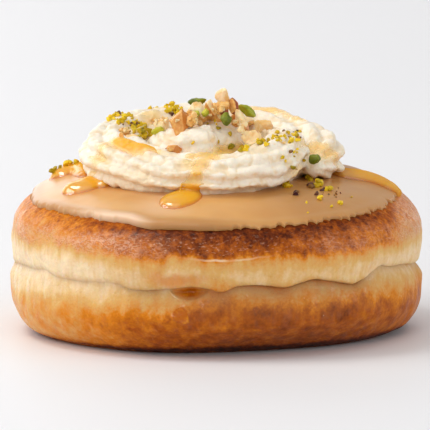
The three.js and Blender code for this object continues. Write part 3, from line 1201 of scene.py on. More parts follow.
    def build(self) -> bpy.types.Object:
        """Make the bun with its folds, pleats and wrinkles.

        Returns:
            The finished piece.
        """
        radii, heights = self.outline()
        piece = Bench.ball("dough_bun", self.sides, len(radii) - 1)
        ring, angle = Bench.rings(piece, len(radii) - 1)
        radius, height = radii[ring], heights[ring]
        points = self.knead(radius, height, angle)
        away = height - self.crease
        gape = self.mouth(angle)
        into = np.clip(-away / self.mouth_lip, 0, 1)
        drop = gape * into * np.exp(-np.maximum(-away - self.mouth_lip, 0) / self.mouth_fade)
        points[:, 2] -= self.mouth_drop * drop
        on_side = polar(np.where(height > 0, self.radius, radius), angle, height)
        pressed = 0.65 + 0.5 * noise(on_side * (1, 1, 0), 6.0, 13)
        slit = np.exp(-np.abs(away) / np.where(away > 0, self.slit_above, self.slit_below))
        closed = ease(on_side[:, 0], *self.slit_closed)
        inset = self.slit_depth * pressed * slit * (1 - 0.88 * closed)
        inset += self.mouth_depth * gape * np.sin(np.pi * into)
        inset -= 0.25 * hill(away, 1.1, 0.8) + 0.1 * hill(away, -1.4, 0.9)
        points[:, 2] -= self.overhang * hill(away, 0.6, 0.5) * (1 - 0.75 * closed)
        inset -= self.relief(on_side, height, away)
        outward = polar(np.ones(len(angle)), angle, np.zeros(len(angle)))
        points -= outward * (inset * ease(height, 0.0, 1.5) * ease(radius, 10.0, 30.0))[:, None]
        Bench.shape(piece, points)
        Bench.close(piece)
        self.colour(piece, points, on_side, away, gape * np.sin(np.pi * into) ** 0.5)
        Bench.smooth(piece)
        return Bench.hand_over(piece, CrustFinish().material(), "dough", "dough")

    @staticmethod
    def relief(on_side: Array, height: Array, away: Array) -> Array:
        """Give how far the side stands out in lumps, pleats and wrinkles.

        Args:
            on_side: Points on an even cylinder, for noise.
            height: Their heights in the even outline.
            away: The same heights, measured from the crease.

        Returns:
            One rise in millimetres for each point.
        """
        pleats = 0.32 * noise(on_side, (2.8, 2.8, 14.0), 11) + 0.12 * noise(on_side, (1.3, 1.3, 9.0), 12)
        pleats += 0.8 * noise(on_side, (6.5, 6.5, 14.0), 14) * hill(away, -3.5, 3.0)
        lumps = 0.4 * layered(on_side, 15.0, 21) + 0.12 * noise(on_side, 5.0, 25)
        wrinkles = 0.12 * (1 - np.abs(noise(on_side, (3.0, 3.0, 1.8), 31))) * ease(height, 12.0, 7.0)
        crust = (0.13 * noise(on_side, 1.9, 41) + 0.08 * noise(on_side, 1.0, 42)) * ease(height, 22.0, 25.0)
        moist = 0.17 * noise(on_side, (2.0, 2.0, 2.4), 45) * ease(height, 26.0, 22.0)
        return lumps + pleats * hill(away, 0.0, 6.5) + wrinkles + crust + moist

    def colour(
        self, piece: bpy.types.Object, points: Array, on_side: Array, away: Array, gape: Array
    ) -> None:
        """Keep on the mesh how browned, glazed and stained each place is, and where light and shade are
        painted.

        Args:
            piece: The bun.
            points: Its vertices in millimetres.
            on_side: The same vertices on an even cylinder, for noise.
            away: Their height over the crease in the even outline.
            gape: How far each lies inside the gape.
        """
        height = points[:, 2]
        streak = 0.75 * noise(on_side, (1.3, 1.3, 8.0), 51) + 0.45 * noise(on_side, (0.6, 0.6, 5.0), 52)
        x, y = points[:, 0], points[:, 1]
        leftward = ease(x, -14.0, -46.0)
        rightward = ease(x, -32.0, 6.0)
        upper = 23.8 + 0.6 * noise(on_side, 9.0, 53) + streak
        # The lower crust's edge rises towards the right, partly as painted shade under the crease's
        # overhang.
        lower = 12.5 + 1.2 * rightward - 1.6 * ease(x, 28.0, 42.0) - 1.6 * hill(x, -11.0, 6.0)
        lower += 1.2 * noise(on_side, 11.0, 54) + 1.1 * noise(on_side, (2.4, 2.4, 9.0), 55)
        toasted = ease(height, upper - 1.0, upper + 1.6)
        # Browning, with painted light: lighter towards the left, where the light falls, and lighter towards
        # the far right.
        bake_and_shade = toasted * (0.44 + 0.2 * ease(height, 25.5, 30.0) - 0.16 * leftward)
        bake_and_shade -= toasted * (0.17 * ease(x, -8.0, -26.0) + 0.19 * ease(x, 6.0, 42.0))
        bake_and_shade += (
            0.2 * ease(height, upper - 3.8, upper + 0.4)
            + 0.15 * ease(x, -36.0, -14.0)
            - 0.07 * ease(x, 30.0, 42.0)
        )
        # Painted shade: darker just above the lower crust, more so on the right, under the crease's
        # overhang.
        bake_and_shade += (0.08 + 0.14 * rightward) * ease(height, lower + 5.5, lower + 0.5)
        bake_and_shade += (0.36 - 0.1 * leftward) * ease(height, lower + 1.5, lower - 4.0)
        # Darker near the floor: dark fried crust with a painted contact shadow over it.
        bake_and_shade += 0.4 * ease(height, 2.1 + 0.7 * rightward, 0.8)
        bake_and_shade -= 0.25 * ease(height, 0.8, 0.2)
        smear = ease(x, 40.0, 43.5) * ease(height, 22.5, 25.0)
        bake_and_shade -= 0.2 * smear
        bake_and_shade += sum(scorch.share(points, on_side) for scorch in self.scorches)
        Bench.paint(piece, "bake_and_shade", bake_and_shade)
        Bench.paint(piece, "under", ease(height, lower, lower - 4.0) * ease(height, 1.0, 3.5))
        Bench.paint(piece, "rim", ease(height, 26.5, 29.5))
        patchy = ease(noise(on_side, (4.0, 4.0, 2.5), 61), -0.5, 0.5)
        film = toasted * ease(height, 30.0, 26.5) * (0.35 + 0.65 * patchy)
        film *= 0.06 + 0.9 * ease(x, -6.0, -22.0) + 0.4 * ease(x, 14.0, 30.0)
        Bench.paint(piece, "film", np.clip(np.maximum(film, 0.8 * smear), 0, 1))
        Bench.paint(piece, "dash", toasted * ease(height, 30.0, 27.0) * (0.5 + 0.5 * hill(x, -12.0, 14.0)))
        Bench.paint(piece, "moist", ease(x, 41.0, 34.0))
        path = 23.4 + 0.008 * (x - 2.0) ** 2 + 0.22 * noise(on_side, 2.6, 62) + 0.1 * noise(on_side, 1.1, 64)
        Bench.paint(piece, "thread_off", np.clip(height - path, -3, 3))
        torn = ease(noise(on_side * (1, 1, 0), 3.4, 65), -0.5, 0.2)
        Bench.paint(piece, "thread", hill(x, 2.5, 6.5) * ease(y, 0.0, -20.0) * (0.3 + 0.7 * torn))
        # Painted shade: dark along the crease and spreading down under its overhang, wider on the right.
        crease_shade = np.exp(-np.abs(away) / np.where(away > 0, 0.8 - 0.4 * rightward, 0.9 + 2.6 * rightward))
        uneven = 1 + 0.4 * noise(on_side, 5.0, 63)
        crease_shade *= (0.5 + 0.4 * rightward) * uneven * (1 - 0.6 * ease(x, 26.0, 40.0))
        Bench.paint(piece, "crease_shade", crease_shade)
        seep = np.clip(gape, 0, 1)
        for stain in self.stains:
            seep = np.maximum(seep, stain.share(points, on_side))
        Bench.paint(piece, "seep", seep)


@dataclass
class Icing:
    """A thin skin of icing over the bun's top, with a beaded and ragged rim."""

    dough: Dough
    thickness: float = 1.4
    middle_thickness: float = 1.35
    notch: float = 5.0
    notches: int = 132
    bead: float = 0.25
    bead_place: float = 2.0
    bead_width: float = 1.3
    rounding: float = 1.0
    sunk: float = -0.3
    bitten_from: float = 0.79
    right_thinner: float = 0.62
    left_thinner: float = 0.35
    sides: int = 1024
    inner_rows: int = 10
    outer_rows: int = 72
    waves: tuple[Wave, ...] = (Wave(8, 0.4, 2.6), Wave(13, 0.4, 4.4), Wave(21, 0.4, 1.1))
    edge_line: tuple[tuple[float, float], ...] = (
        (-44, 30.0), (-38, 32.0), (-22, 32.0), (-16, 28.6), (1, 28.0), (5, 28.9), (20, 28.9), (25, 31.0),
        (31, 31.0), (35, 30.2), (39, 31.8), (44, 33.0),
    )

    def rim(self, angle: Array) -> Array:
        """Give the latitude of the icing's edge before it is bitten.

        Args:
            angle: Angles round the axis.

        Returns:
            One latitude in radians for each angle.
        """
        across, latitude = np.array(self.edge_line).T
        even = np.interp(self.dough.radius * np.cos(angle), across, latitude)
        return np.radians(even + ripple(self.waves, angle))

    def bites(self, angle: Array) -> Array:
        """Give how far the edge is bitten back: rounded notches with drips between them.

        Args:
            angle: Angles round the axis.

        Returns:
            One rise in latitude, in radians, for each angle.
        """
        along = (angle / (2 * np.pi)) % 1 * self.notches
        bites = np.zeros(len(angle))
        for step in (-1, 0, 1):
            cell = np.stack([(np.floor(along) + step) % self.notches] * 3, axis=1)
            middle = np.floor(along) + step + 0.5 + 0.22 * hashed(cell, 71)
            half = 0.56 + 0.08 * hashed(cell, 72)
            deep = np.clip(0.64 + 0.34 * hashed(cell, 73), 0.1, 1)
            bites += (deep * np.clip(1 - ((along - middle) / half) ** 2, 0, 1) ** 0.5) ** 3
        bites = np.cbrt(bites)
        circle = polar(np.full(len(angle), self.dough.radius), angle, np.zeros(len(angle)))
        x = circle[:, 0]
        ragged = ease(x, -6.0, 8.0) + 0.6 * ease(x, -22.0, -32.0)
        bites *= 0.06 + 0.94 * np.clip(ragged * (1 + 0.3 * noise(circle, 9.0, 74)), 0, 1)
        return np.radians(self.notch * bites)

    def build(self) -> bpy.types.Object:
        """Make the icing.

        Returns:
            The finished piece.
        """
        inner = np.linspace(0, 1, self.inner_rows)
        outer = 1 - np.linspace(0, 1, self.outer_rows) ** 1.8
        shares = np.concatenate([inner, outer])
        piece = Bench.ball("caramel_icing", self.sides, len(shares) - 1)
        ring, angle = Bench.rings(piece, len(shares) - 1)
        share = shares[ring]
        rim = self.rim(angle)
        bites = self.bites(angle)
        latitude = np.pi / 2 - share * (np.pi / 2 - rim) + bites * ease(share, self.bitten_from, 1.0)
        from_rim = self.arc(latitude) - self.arc(rim + bites)
        x = self.dough.radius * np.cos(angle)
        rightward = ease(x, -4.0, 10.0)
        rounding = self.rounding * (1 - 0.6 * rightward)
        rounded = np.sqrt(1 - (1 - np.clip(from_rim / rounding, 0, 1)) ** 2)
        from_rim = self.arc(latitude) - self.arc(rim)
        flat = polar(self.dough.radius * (1 - share), angle, np.zeros(len(angle)))
        leftward = ease(x, -26.0, -38.0)
        body = self.thickness * (1 - self.right_thinner * rightward - self.left_thinner * leftward)
        body += (self.middle_thickness - body) * ease(from_rim, 0.5, 9.0)
        lift = body * rounded + self.bead * hill(from_rim, self.bead_place, self.bead_width)
        lift += 0.15 * noise(flat, 9.0, 81) * ease(from_rim, 0.0, 6.0)
        lift = np.where(ring < self.inner_rows, self.sunk, lift + self.sunk * (1 - rounded))
        Bench.shape(piece, self.dough.above(latitude, angle, lift))
        Bench.close(piece)
        # Painted shade on the icing, kept as thin: along the rim's edge and towards the right.
        thin = np.maximum((0.8 - 0.3 * rightward) * ease(from_rim, 4.5, 0.5), 0.66 * ease(x, 4.0, 30.0))
        Bench.paint(piece, "thin", thin)
        # Painted sheen on the left of the icing: along the rim, and fainter further in.
        rim_sheen = 0.75 * hill(from_rim, 1.2, 1.3) * ease(x, -14.0, -22.0) * (1 - 0.9 * ease(x, -27.0, -40.0))
        Bench.paint(piece, "rim_sheen", np.maximum(rim_sheen, 0.3 * hill(x, -16.0, 8.0) * ease(from_rim, 2.0, 6.0)))
        Bench.smooth(piece)
        return Bench.hand_over(piece, IcingFinish().material(), "icing", "icing")

    def arc(self, latitude: Array) -> Array:
        """Give the distance along the even outline from the upper waist.

        Args:
            latitude: Latitudes in radians.

        Returns:
            One distance in millimetres for each latitude.
        """
        table = np.linspace(0, np.pi / 2, 400)
        radius, height = self.dough.shoulder(table)
        steps = np.hypot(np.diff(radius), np.diff(height))
        return np.interp(latitude, table, np.concatenate([[0.0], np.cumsum(steps)]))


@dataclass(frozen=True)
class Station:
    """One place along the cream rope: its turn from the right in degrees, and sizes in millimetres."""

    turn: float
    radius: float
    crest: float
    half: float
    foot: float


@dataclass
class CreamSwirl:
    """A thick piped rope that winds inwards, on a bed that fills its valley and a mound in its middle."""

    stations: tuple[Station, ...] = (
        Station(-24, 24.5, 44.0, 6.0, 34.4), Station(20, 23.6, 46.8, 7.2, 34.4),
        Station(65, 22.2, 48.6, 8.0, 34.4), Station(110, 21.8, 49.3, 8.4, 34.4),
        Station(155, 22.2, 48.0, 8.4, 34.4), Station(200, 22.4, 46.2, 8.3, 34.4),
        Station(240, 21.8, 44.3, 8.2, 34.4), Station(275, 21.2, 43.7, 8.0, 34.4),
        Station(310, 20.4, 46.4, 7.0, 35.4), Station(338, 18.6, 48.0, 6.0, 37.6),
        Station(385, 13.4, 47.0, 5.2, 38.4), Station(450, 8.8, 47.6, 5.0, 38.4),
        Station(540, 7.0, 47.4, 5.2, 38.4), Station(620, 5.8, 48.4, 5.4, 38.4),
        Station(690, 2.8, 48.8, 4.6, 39.4),
    )
    centre: tuple[float, float] = (-0.7, 0.0)
    shift: tuple[float, float] = (-4.2, -1.6)
    outer_turn: float = 22.0
    ridges: int = 9
    ridge_rise: float = 0.25
    ridge_twist: float = 0.9
    taper: float = 9.0
    length: float = 160.0
    around: int = 84
    along: int = 620
    bed_foot: float = 34.4
    bed_radius: float = 21.0
    bed_height: float = 42.2
    bed_bevel: float = 4.0
    mound_at: tuple[float, float, float] = (-1.5, 0.0, 42.0)
    mound_half: tuple[float, float, float] = (9.5, 7.5, 7.0)
    voxel: float = 0.36

    def on_rope(self, share: Array, around: Array) -> Array:
        """Give points on the rope.

        Args:
            share: How far along the rope, from 0 to 1.
            around: Angle round it, 0 on its outer side and a quarter turn on top.

        Returns:
            Rows of x, y and z.
        """
        rows = np.array([(s.turn, s.radius, s.crest, s.half, s.foot) for s in self.stations])
        turn, radius, crest, half, foot = through(rows, share).T
        turn = np.radians(turn)
        slim = np.minimum(1, np.sin(np.pi * share) * self.taper) ** 0.5
        track = np.stack([share * self.length, np.zeros(len(share)), np.zeros(len(share))], axis=1)
        wander = self.ridge_twist * turn / 3 + 0.22 * layered(track, 9.0, 87, 2)
        lobe = np.abs(np.sin(self.ridges / 2 * (around + wander))) ** 0.7
        size = slim * (1 + self.ridge_rise * (lobe - 0.75) * (1 + 0.5 * noise(track, 7.0, 89)))
        tall = (crest - foot) / 2
        across = radius + half * size * np.cos(around)
        height = foot + tall + tall * size * np.sin(around)
        points = polar(across, turn, height)
        inwards = 1 - np.minimum(radius / self.outer_turn, 1)
        points[:, 0] += self.centre[0] + self.shift[0] * inwards
        points[:, 1] += self.centre[1] + self.shift[1] * inwards
        return points

    def rope(self) -> bpy.types.Object:
        """Make the rope as one closed tube.

        Returns:
            The rope, still a piece of its own.
        """
        piece = Bench.ball("rope", self.around, self.along)
        ring, angle = Bench.rings(piece, self.along)
        Bench.shape(piece, self.on_rope(ring / self.along, angle))
        Bench.close(piece)
        return piece

    def bed(self) -> bpy.types.Object:
        """Make the bed: a disc whose upper edge is bevelled.

        Returns:
            The bed, still a piece of its own.
        """
        Bench.pick()
        height = self.bed_height - self.bed_foot
        middle = (0, 0, (self.bed_foot + height / 2) * MM)
        bpy.ops.mesh.primitive_cylinder_add(
            vertices=96, radius=self.bed_radius * MM, depth=height * MM, location=middle
        )
        piece = bpy.context.object
        bpy.ops.object.transform_apply(location=True)
        Bench.apply(piece, "BEVEL", width=self.bed_bevel * MM, segments=6, limit_method="ANGLE")
        return piece

    def mound(self) -> bpy.types.Object:
        """Make the mound in the middle.

        Returns:
            The mound, still a piece of its own.
        """
        piece = Bench.ball("mound", 48, 32)
        Bench.shape(piece, Bench.points(piece) * self.mound_half + self.mound_at)
        return piece

    def build(self) -> bpy.types.Object:
        """Make the cream: rope, bed and mound run together, then roughened into froth.

        Returns:
            The piece, not yet dressed, because honey stains it.
        """
        piece = Bench.join("cream_swirl", [self.rope(), self.bed(), self.mound()])
        Bench.apply(piece, "REMESH", mode="VOXEL", voxel_size=self.voxel * MM)
        Bench.apply(piece, "SMOOTH", factor=0.5, iterations=2)
        points = Bench.points(piece) / MM
        facing = Bench.points(piece, "normal")
        froth = 0.3 * layered(points, 5.0, 91, 2)
        froth = froth + 0.26 * noise(points, 1.9, 95) + 0.12 * noise(points, 0.9, 96)
        froth -= 0.3 * (1 - np.abs(noise(points, 3.4, 98))) ** 5
        froth -= 0.18 * (1 - np.abs(noise(points, 1.8, 99))) ** 4
        foot = 0.35 * noise(points, (3.2, 3.2, 9.0), 97) * ease(points[:, 2], 40.0, 37.0)
        Bench.shape(piece, points + facing * (froth + foot)[:, None])
        # Painted shade: in the hollows of the froth, and on the lower wall of the rope towards the front
        # left.
        side = 0.7 * hill(points[:, 0], -18.0, 9.0) * ease(points[:, 2], 44.0, 39.5)
        Bench.paint(piece, "groove_shade", np.maximum(ease(-froth, 0.0, 0.4), side))
        Bench.smooth(piece)
        return piece

    @staticmethod
    def dress(piece: bpy.types.Object, stains: Iterable[tuple[Vector, float]]) -> bpy.types.Object:
        """Stain the cream with honey and hand it over.

        Args:
            piece: The cream.
            stains: Places in metres and how far each stain spreads, in millimetres.

        Returns:
            The finished piece.
        """
        points = Bench.points(piece) / MM
        film = np.zeros(len(points))
        for place, spread in stains:
            away = np.linalg.norm(points - np.array(place) / MM, axis=1)
            film = np.maximum(film, hill(away, 0.0, spread))
        Bench.paint(piece, "film", film)
        return Bench.hand_over(piece, CreamFinish().material(), "cream", "cream")


class Ground(enum.Enum):
    """What a run of honey lies on, by the name of that piece."""

    CREAM = "cream_swirl"
    ICING = "caramel_icing"


@dataclass(frozen=True)
class Run:
    """A run of honey: points of the picture in pixels, with half widths in millimetres.

    Its rise is how thick it is, and a small rounding gives it a steep edge.
    """

    route: tuple[tuple[float, float, float], ...]
    ground: Ground = Ground.CREAM
    rise: float = 0.55
    rounding: float = 1.3


@dataclass
class Honey:
    """Strands of honey over the cream, pools in its valley and drops on the icing.

    Each run is a patch of what lies under it, lifted off by the honey's thickness. The icing and the
    cream go by their numbers among the surface's pieces.
    """

    surface: Surface
    hosts: tuple[bpy.types.Object, ...]
    steps: int = 60
    dry: float = -0.2
    sunk: float = 0.9
    voxel: float = 0.28
    glossy: tuple[float, float, float] = (-0.5, -0.6, 0.6)
    low: float = 38.2
    deepest: float = 2.0
    icing_number: int = 1
    cream_number: int = 2
    runs: tuple[Run, ...] = (
        Run(
            (
                (228, 151, 1.6), (212, 156, 2.6), (203, 162, 2.6),
                (198, 170, 2.4), (194, 180, 2.3), (190, 190, 2.2),
            ),
            rise=0.5,
        ),
        Run(((118, 143, 1.8), (128, 145, 2.7), (140, 148, 2.8), (151, 151, 2.0)), rise=1.1),
        Run(((190, 157, 1.6), (206, 155, 2.4), (224, 151, 2.4), (240, 147, 1.6))),
        Run(((92, 158, 2.0), (100, 150, 2.8), (112, 143, 2.6), (124, 140, 1.8)), rise=0.3),
        Run(((300, 143, 2.0), (314, 146, 3.2), (326, 150, 3.4), (337, 158, 2.6)), rise=0.3),
        Run(((246, 108, 1.2), (264, 107, 2.0), (284, 112, 2.0), (304, 119, 1.4)), rise=0.35),
        Run(((190, 193, 2.8), (186, 196, 3.8), (180, 200, 4.4), (175, 203, 3.6)), Ground.ICING, 1.4, 0.6),
        Run(((103, 181, 2.0), (94, 184, 3.4), (83, 188, 4.2), (75, 190, 3.2)), Ground.ICING, 2.0, 0.7),
        Run(((86, 166, 2.0), (74, 170, 3.6), (65, 172, 3.8), (60, 174, 2.6)), Ground.ICING, 1.9, 1.0),
        Run(((338, 173, 3.0), (350, 175, 4.2), (364, 177, 4.4), (380, 182, 4.2)), Ground.ICING, 1.3, 0.6),
        Run(((378, 181, 4.2), (386, 184, 3.8), (393, 189, 3.2), (398, 195, 2.4)), Ground.ICING, 0.9, 0.6),
    )

    def line(self, run: Run) -> Array:
        """Follow a run over what lies under it.

        Args:
            run: The run.

        Returns:
            Rows of x, y, z and half width, in millimetres.
        """
        spots = [(self.surface.seen(column, row), half) for column, row, half in run.route]
        rows = [(*(spot.place / MM), half) for spot, half in spots if spot is not None]
        return through(np.array(rows), np.linspace(0, 1, self.steps))

    def thickness(self, points: Array, ground: Ground) -> Array:
        """Give the honey's thickness over points of what lies under it.

        Args:
            points: Rows of x, y and z.
            ground: What lies under it.

        Returns:
            The thickness, less than 0 where it is dry.
        """
        thick = np.full(len(points), -1.0)
        wander = 0.2 * noise(points, 3.0, 111) + 0.08 * noise(points, 1.4, 112)
        for run in (run for run in self.runs if run.ground is ground):
            off = np.full(len(points), 9.0)
            for row in self.line(run):
                off = np.minimum(off, np.linalg.norm(points - row[:3], axis=1) / row[3])
            off = off * (1 + wander * (1.0 if ground is Ground.CREAM else 0.3))
            dome = np.clip(1 - off**2, 0, 1) ** run.rounding
            thick = np.maximum(thick, run.rise * dome - np.maximum(off - 1, 0))
        return thick

    def patch(self, host: bpy.types.Object) -> bpy.types.Object:
        """Lift a patch of honey off one piece.

        Args:
            host: What lies under it.

        Returns:
            A closed mesh, its lower side sunk into the piece.
        """
        piece = bpy.data.objects.new("honey", host.data.copy())
        piece.data.materials.clear()
        bpy.context.scene.collection.objects.link(piece)
        points = Bench.points(piece) / MM
        facing = Bench.points(piece, "normal")
        thick = self.thickness(points, Ground(host.name))
        Bench.shape(piece, points + facing * thick[:, None])
        Bench.delete(piece, thick < self.dry)
        Bench.apply(piece, "SOLIDIFY", thickness=self.sunk * MM, offset=-1.0)
        return piece

    def build(self) -> bpy.types.Object:
        """Make all the honey as one piece.

        Returns:
            The finished piece.
        """
        piece = Bench.join("honey_runs", [self.patch(host) for host in self.hosts])
        Bench.apply(piece, "REMESH", mode="VOXEL", voxel_size=self.voxel * MM)
        Bench.apply(piece, "SMOOTH", factor=0.5, iterations=5)
        layers = piece.data.attributes
        for name in [layer.name for layer in layers if layer.data_type == "FLOAT"]:
            layers.remove(layers[name])
        points = Bench.points(piece)
        low = ease(points[:, 2] / MM, self.low + 0.6, self.low - 0.9)
        icing, cream = (
            np.array([self.surface.height(Vector(point), number) for point in points]) / MM
            for number in (self.icing_number, self.cream_number)
        )
        over_icing, over_cream = np.minimum(icing, self.deepest), np.minimum(cream, self.deepest)
        Bench.paint(piece, "depth", low * over_icing + (1 - low) * over_cream)
        Bench.paint(piece, "rich", low)
        Bench.paint(piece, "stiff", ease(points[:, 0] / MM, 26.0, 31.0))
        lit = Bench.points(piece, "normal") @ unit(np.array([self.glossy]))[0]
        Bench.paint(piece, "gloss", ease(lit, 0.55, 0.9) * (0.12 + 0.88 * low))
        Bench.smooth(piece)
        piece.visible_shadow = False
        return Bench.hand_over(piece, HoneyFinish().material(), "honey")


class Skin(enum.Enum):
    """How much of a kernel's skin is left on it."""

    NONE = 0.0
    TOASTED = 0.2
    SOME = 0.65
    ALL = 1.0


@dataclass(frozen=True)
class Cut:
    """A flat cut through a kernel: the way that it faces, how far out it lies and how dark it is."""

    facing: tuple[float, float, float]
    depth: float
    shade: float = 0.0


@dataclass(frozen=True)
class Chunk:
    """A chopped piece: its place and half sizes, how it was cut and turned, and how dark it is."""

    at: tuple[float, float, float]
    half: tuple[float, float, float]
    tone: float = 0.4
    skin: Skin = Skin.TOASTED
    cuts: int = 6
    turn: tuple[float, float, float] = (0.0, 0.0, 0.0)
    planes: tuple[Cut, ...] = ()


@dataclass
class NutHeap:
    """The heap of chopped nuts and pistachio halves on the swirl's middle."""

    lumpiness: float = 0.12
    voxel: float = 0.16
    shallow_cut: float = 0.4
    deep_cut: float = 0.72
    contrast: float = 0.35
    cut_seed: int = 1000
    lump_seed: int = 300
    crag_seed: int = 400
    grit_seed: int = 450
    skin_seed: int = 500
    first_half: int = 60
    wedge: ClassVar[tuple[Cut, ...]] = (
        Cut((-0.35, -0.9, 0.25), 0.45, -0.05),
        Cut((0.7, -0.65, 0.3), 0.45, 0.45),
        Cut((-0.64, 0.0, 0.77), 0.53, -0.1),
        Cut((0.61, 0.0, 0.79), 0.59, 0.3),
        Cut((0.98, 0.0, -0.17), 0.7, 0.3),
        Cut((0.49, 0.0, -0.87), 0.48),
        Cut((-0.9, 0.0, -0.42), 0.64),
    )
    nuts: tuple[Chunk, ...] = (
        Chunk((-7.9, -6.5, 49.3), (3.6, 3.2, 4.1), 0.78, Skin.SOME, planes=wedge),
        Chunk((-5.4, -7.2, 49.7), (1.4, 1.3, 1.5), 0.6, cuts=2),
        Chunk((-4.0, -3.2, 51.6), (2.0, 2.0, 2.2), 0.3, cuts=6),
        Chunk((1.8, -1.2, 54.4), (1.7, 1.6, 2.8), 0.2, cuts=4),
        Chunk((1.6, -3.9, 53.0), (1.7, 1.7, 1.7), 0.3, cuts=4),
        Chunk((1.4, -4.4, 51.5), (1.6, 1.6, 1.4), 0.5, Skin.ALL, 3),
        Chunk((-0.9, -2.8, 52.3), (1.6, 1.7, 2.0), 0.5, cuts=5),
        Chunk((3.9, -1.8, 52.4), (1.5, 1.6, 1.9), 0.3, Skin.ALL, 3),
        Chunk((5.9, -4.6, 49.6), (1.2, 1.2, 3.0), 0.3, Skin.SOME, 4, (0.0, -0.45, 0.0)),
        Chunk((8.5, -6.2, 45.9), (2.3, 2.0, 2.2), 0.2, Skin.SOME, 6),
        Chunk((6.3, -6.4, 47.4), (1.2, 1.1, 1.3), 0.4),
        Chunk((10.6, 1.6, 47.0), (2.6, 2.3, 2.6), 0.5),
        Chunk((-12.4, -1.4, 48.2), (2.2, 1.9, 2.2), 0.3),
        Chunk((0.2, -0.6, 50.2), (2.8, 2.6, 2.8), 0.5),
        Chunk((5.0, 1.8, 49.0), (2.6, 2.4, 2.6), 0.5, Skin.SOME),
        Chunk((0.4, 3.8, 50.2), (2.4, 2.3, 2.4), 0.4),
        Chunk((-4.8, 2.8, 50.4), (2.2, 2.2, 2.2), 0.5, Skin.SOME),
        Chunk((-3.8, -2.4, 49.8), (2.3, 2.2, 2.4), 0.5, Skin.SOME),
        Chunk((7.2, 4.8, 47.8), (2.0, 1.8, 1.9), 0.4),
        Chunk((-9.6, -14.6, 43.9), (1.9, 1.5, 1.6), 0.7, Skin.ALL, 5),
        Chunk((-19.4, -4.4, 44.8), (2.0, 1.6, 1.5), 0.3, cuts=5),
        Chunk((-21.4, -1.4, 46.0), (1.5, 1.3, 1.3), 0.4, cuts=5),
    )
    pistachios: tuple[Chunk, ...] = (
        Chunk((-4.2, -1.2, 53.4), (2.4, 1.3, 0.9), 0.6, cuts=2, turn=(0.0, -0.1, 0.0)),
        Chunk((7.5, -0.8, 51.2), (2.7, 1.1, 1.1), 0.8, cuts=2, turn=(0.0, 0.45, 0.0)),
        Chunk((2.4, -7.0, 50.2), (1.4, 1.3, 1.4), 0.5, cuts=1),
        Chunk((22.9, -12.0, 41.6), (1.4, 1.1, 1.1), 0.85, cuts=1),
        Chunk((-13.4, -3.6, 46.9), (1.5, 0.8, 0.8), 0.4, cuts=2, turn=(0.0, -0.5, 0.0)),
        Chunk((-4.7, -6.0, 51.3), (0.9, 0.9, 1.0), 0.3, cuts=3),
        Chunk((-2.3, -5.2, 51.4), (0.9, 0.9, 1.0), 0.25, cuts=3),
    )

    def chips(self, draw: np.random.Generator, count: int) -> tuple[Cut, ...]:
        """Draw cuts at random.

        Args:
            draw: Random numbers.
            count: How many cuts.

        Returns:
            The cuts.
        """
        facings = unit(draw.normal(size=(count, 3)))
        depths = draw.uniform(self.shallow_cut, self.deep_cut, size=count)
        shades = draw.uniform(-self.contrast, self.contrast, size=count)
        drawn = zip(facings, depths, shades)
        return tuple(Cut(tuple(facing), depth, shade) for facing, depth, shade in drawn)

    def chop(self, chunk: Chunk, index: int) -> bpy.types.Object:
        """Chop one kernel with flat cuts.

        Args:
            chunk: What it is.
            index: Seeds its own cuts.

        Returns:
            A closed, craggy mesh that knows its tone and where skin is left on it.
        """
        draw = np.random.default_rng(self.cut_seed + index)
        Bench.pick()
        bpy.ops.mesh.primitive_ico_sphere_add(subdivisions=4, radius=1.0)
        piece = bpy.context.object
        points = Bench.points(piece)
        points *= (1 + self.lumpiness * layered(points, 0.9, self.lump_seed + index, 2))[:, None]
        Bench.shape(piece, points / MM)
        cuts = chunk.planes or self.chips(draw, chunk.cuts)
        facings = unit(np.array([cut.facing for cut in cuts]))
        depths = np.array([cut.depth for cut in cuts])
        bpy.ops.object.mode_set(mode="EDIT")
        for facing, depth in zip(facings, depths):
            bpy.ops.mesh.select_all(action="SELECT")
            bpy.ops.mesh.bisect(plane_co=facing * depth, plane_no=facing, use_fill=True, clear_outer=True)
        bpy.ops.object.mode_set(mode="OBJECT")
        turn = Matrix.Rotation(chunk.turn[1], 3, "Y") @ Matrix.Rotation(chunk.turn[0], 3, "X")
        turn = np.array(Matrix.Rotation(chunk.turn[2], 3, "Z") @ turn)
        Bench.shape(piece, Bench.points(piece) * chunk.half @ turn.T + chunk.at)
        Bench.apply(piece, "REMESH", mode="VOXEL", voxel_size=self.voxel * MM)
        points = Bench.points(piece) / MM
        within = (points - chunk.at) @ turn / chunk.half
        inside = depths - within @ facings.T
        crags = 0.2 * noise(points, 1.3, self.crag_seed + index)
        crags = crags + 0.12 * noise(points, 0.55, self.grit_seed + index)
        Bench.shape(piece, points + Bench.points(piece, "normal") * crags[:, None])
        patchy = ease(noise(points, 1.6, self.skin_seed), -0.1, 0.3) if chunk.skin is Skin.SOME else 1.0
        Bench.paint(piece, "skin", chunk.skin.value * ease(inside.min(axis=1), 0.05, 0.12) * patchy)
        shades = np.array([cut.shade for cut in cuts])
        Bench.paint(piece, "tone", chunk.tone + shades[inside.argmin(axis=1)])
        Bench.smooth(piece)
        return piece

    def build(self) -> list[bpy.types.Object]:
        """Make the nuts and the pistachio halves.

        Returns:
            One piece of nuts and one of pistachios.
        """
        nuts = [self.chop(chunk, index) for index, chunk in enumerate(self.nuts)]
        halves = [self.chop(chunk, index) for index, chunk in enumerate(self.pistachios, self.first_half)]
        return [
            Bench.hand_over(Bench.join("chopped_nuts", nuts), NUT.material(), "nut"),
            Bench.hand_over(Bench.join("pistachio_pieces", halves), PISTACHIO_HALF.material(), "pistachio"),
        ]


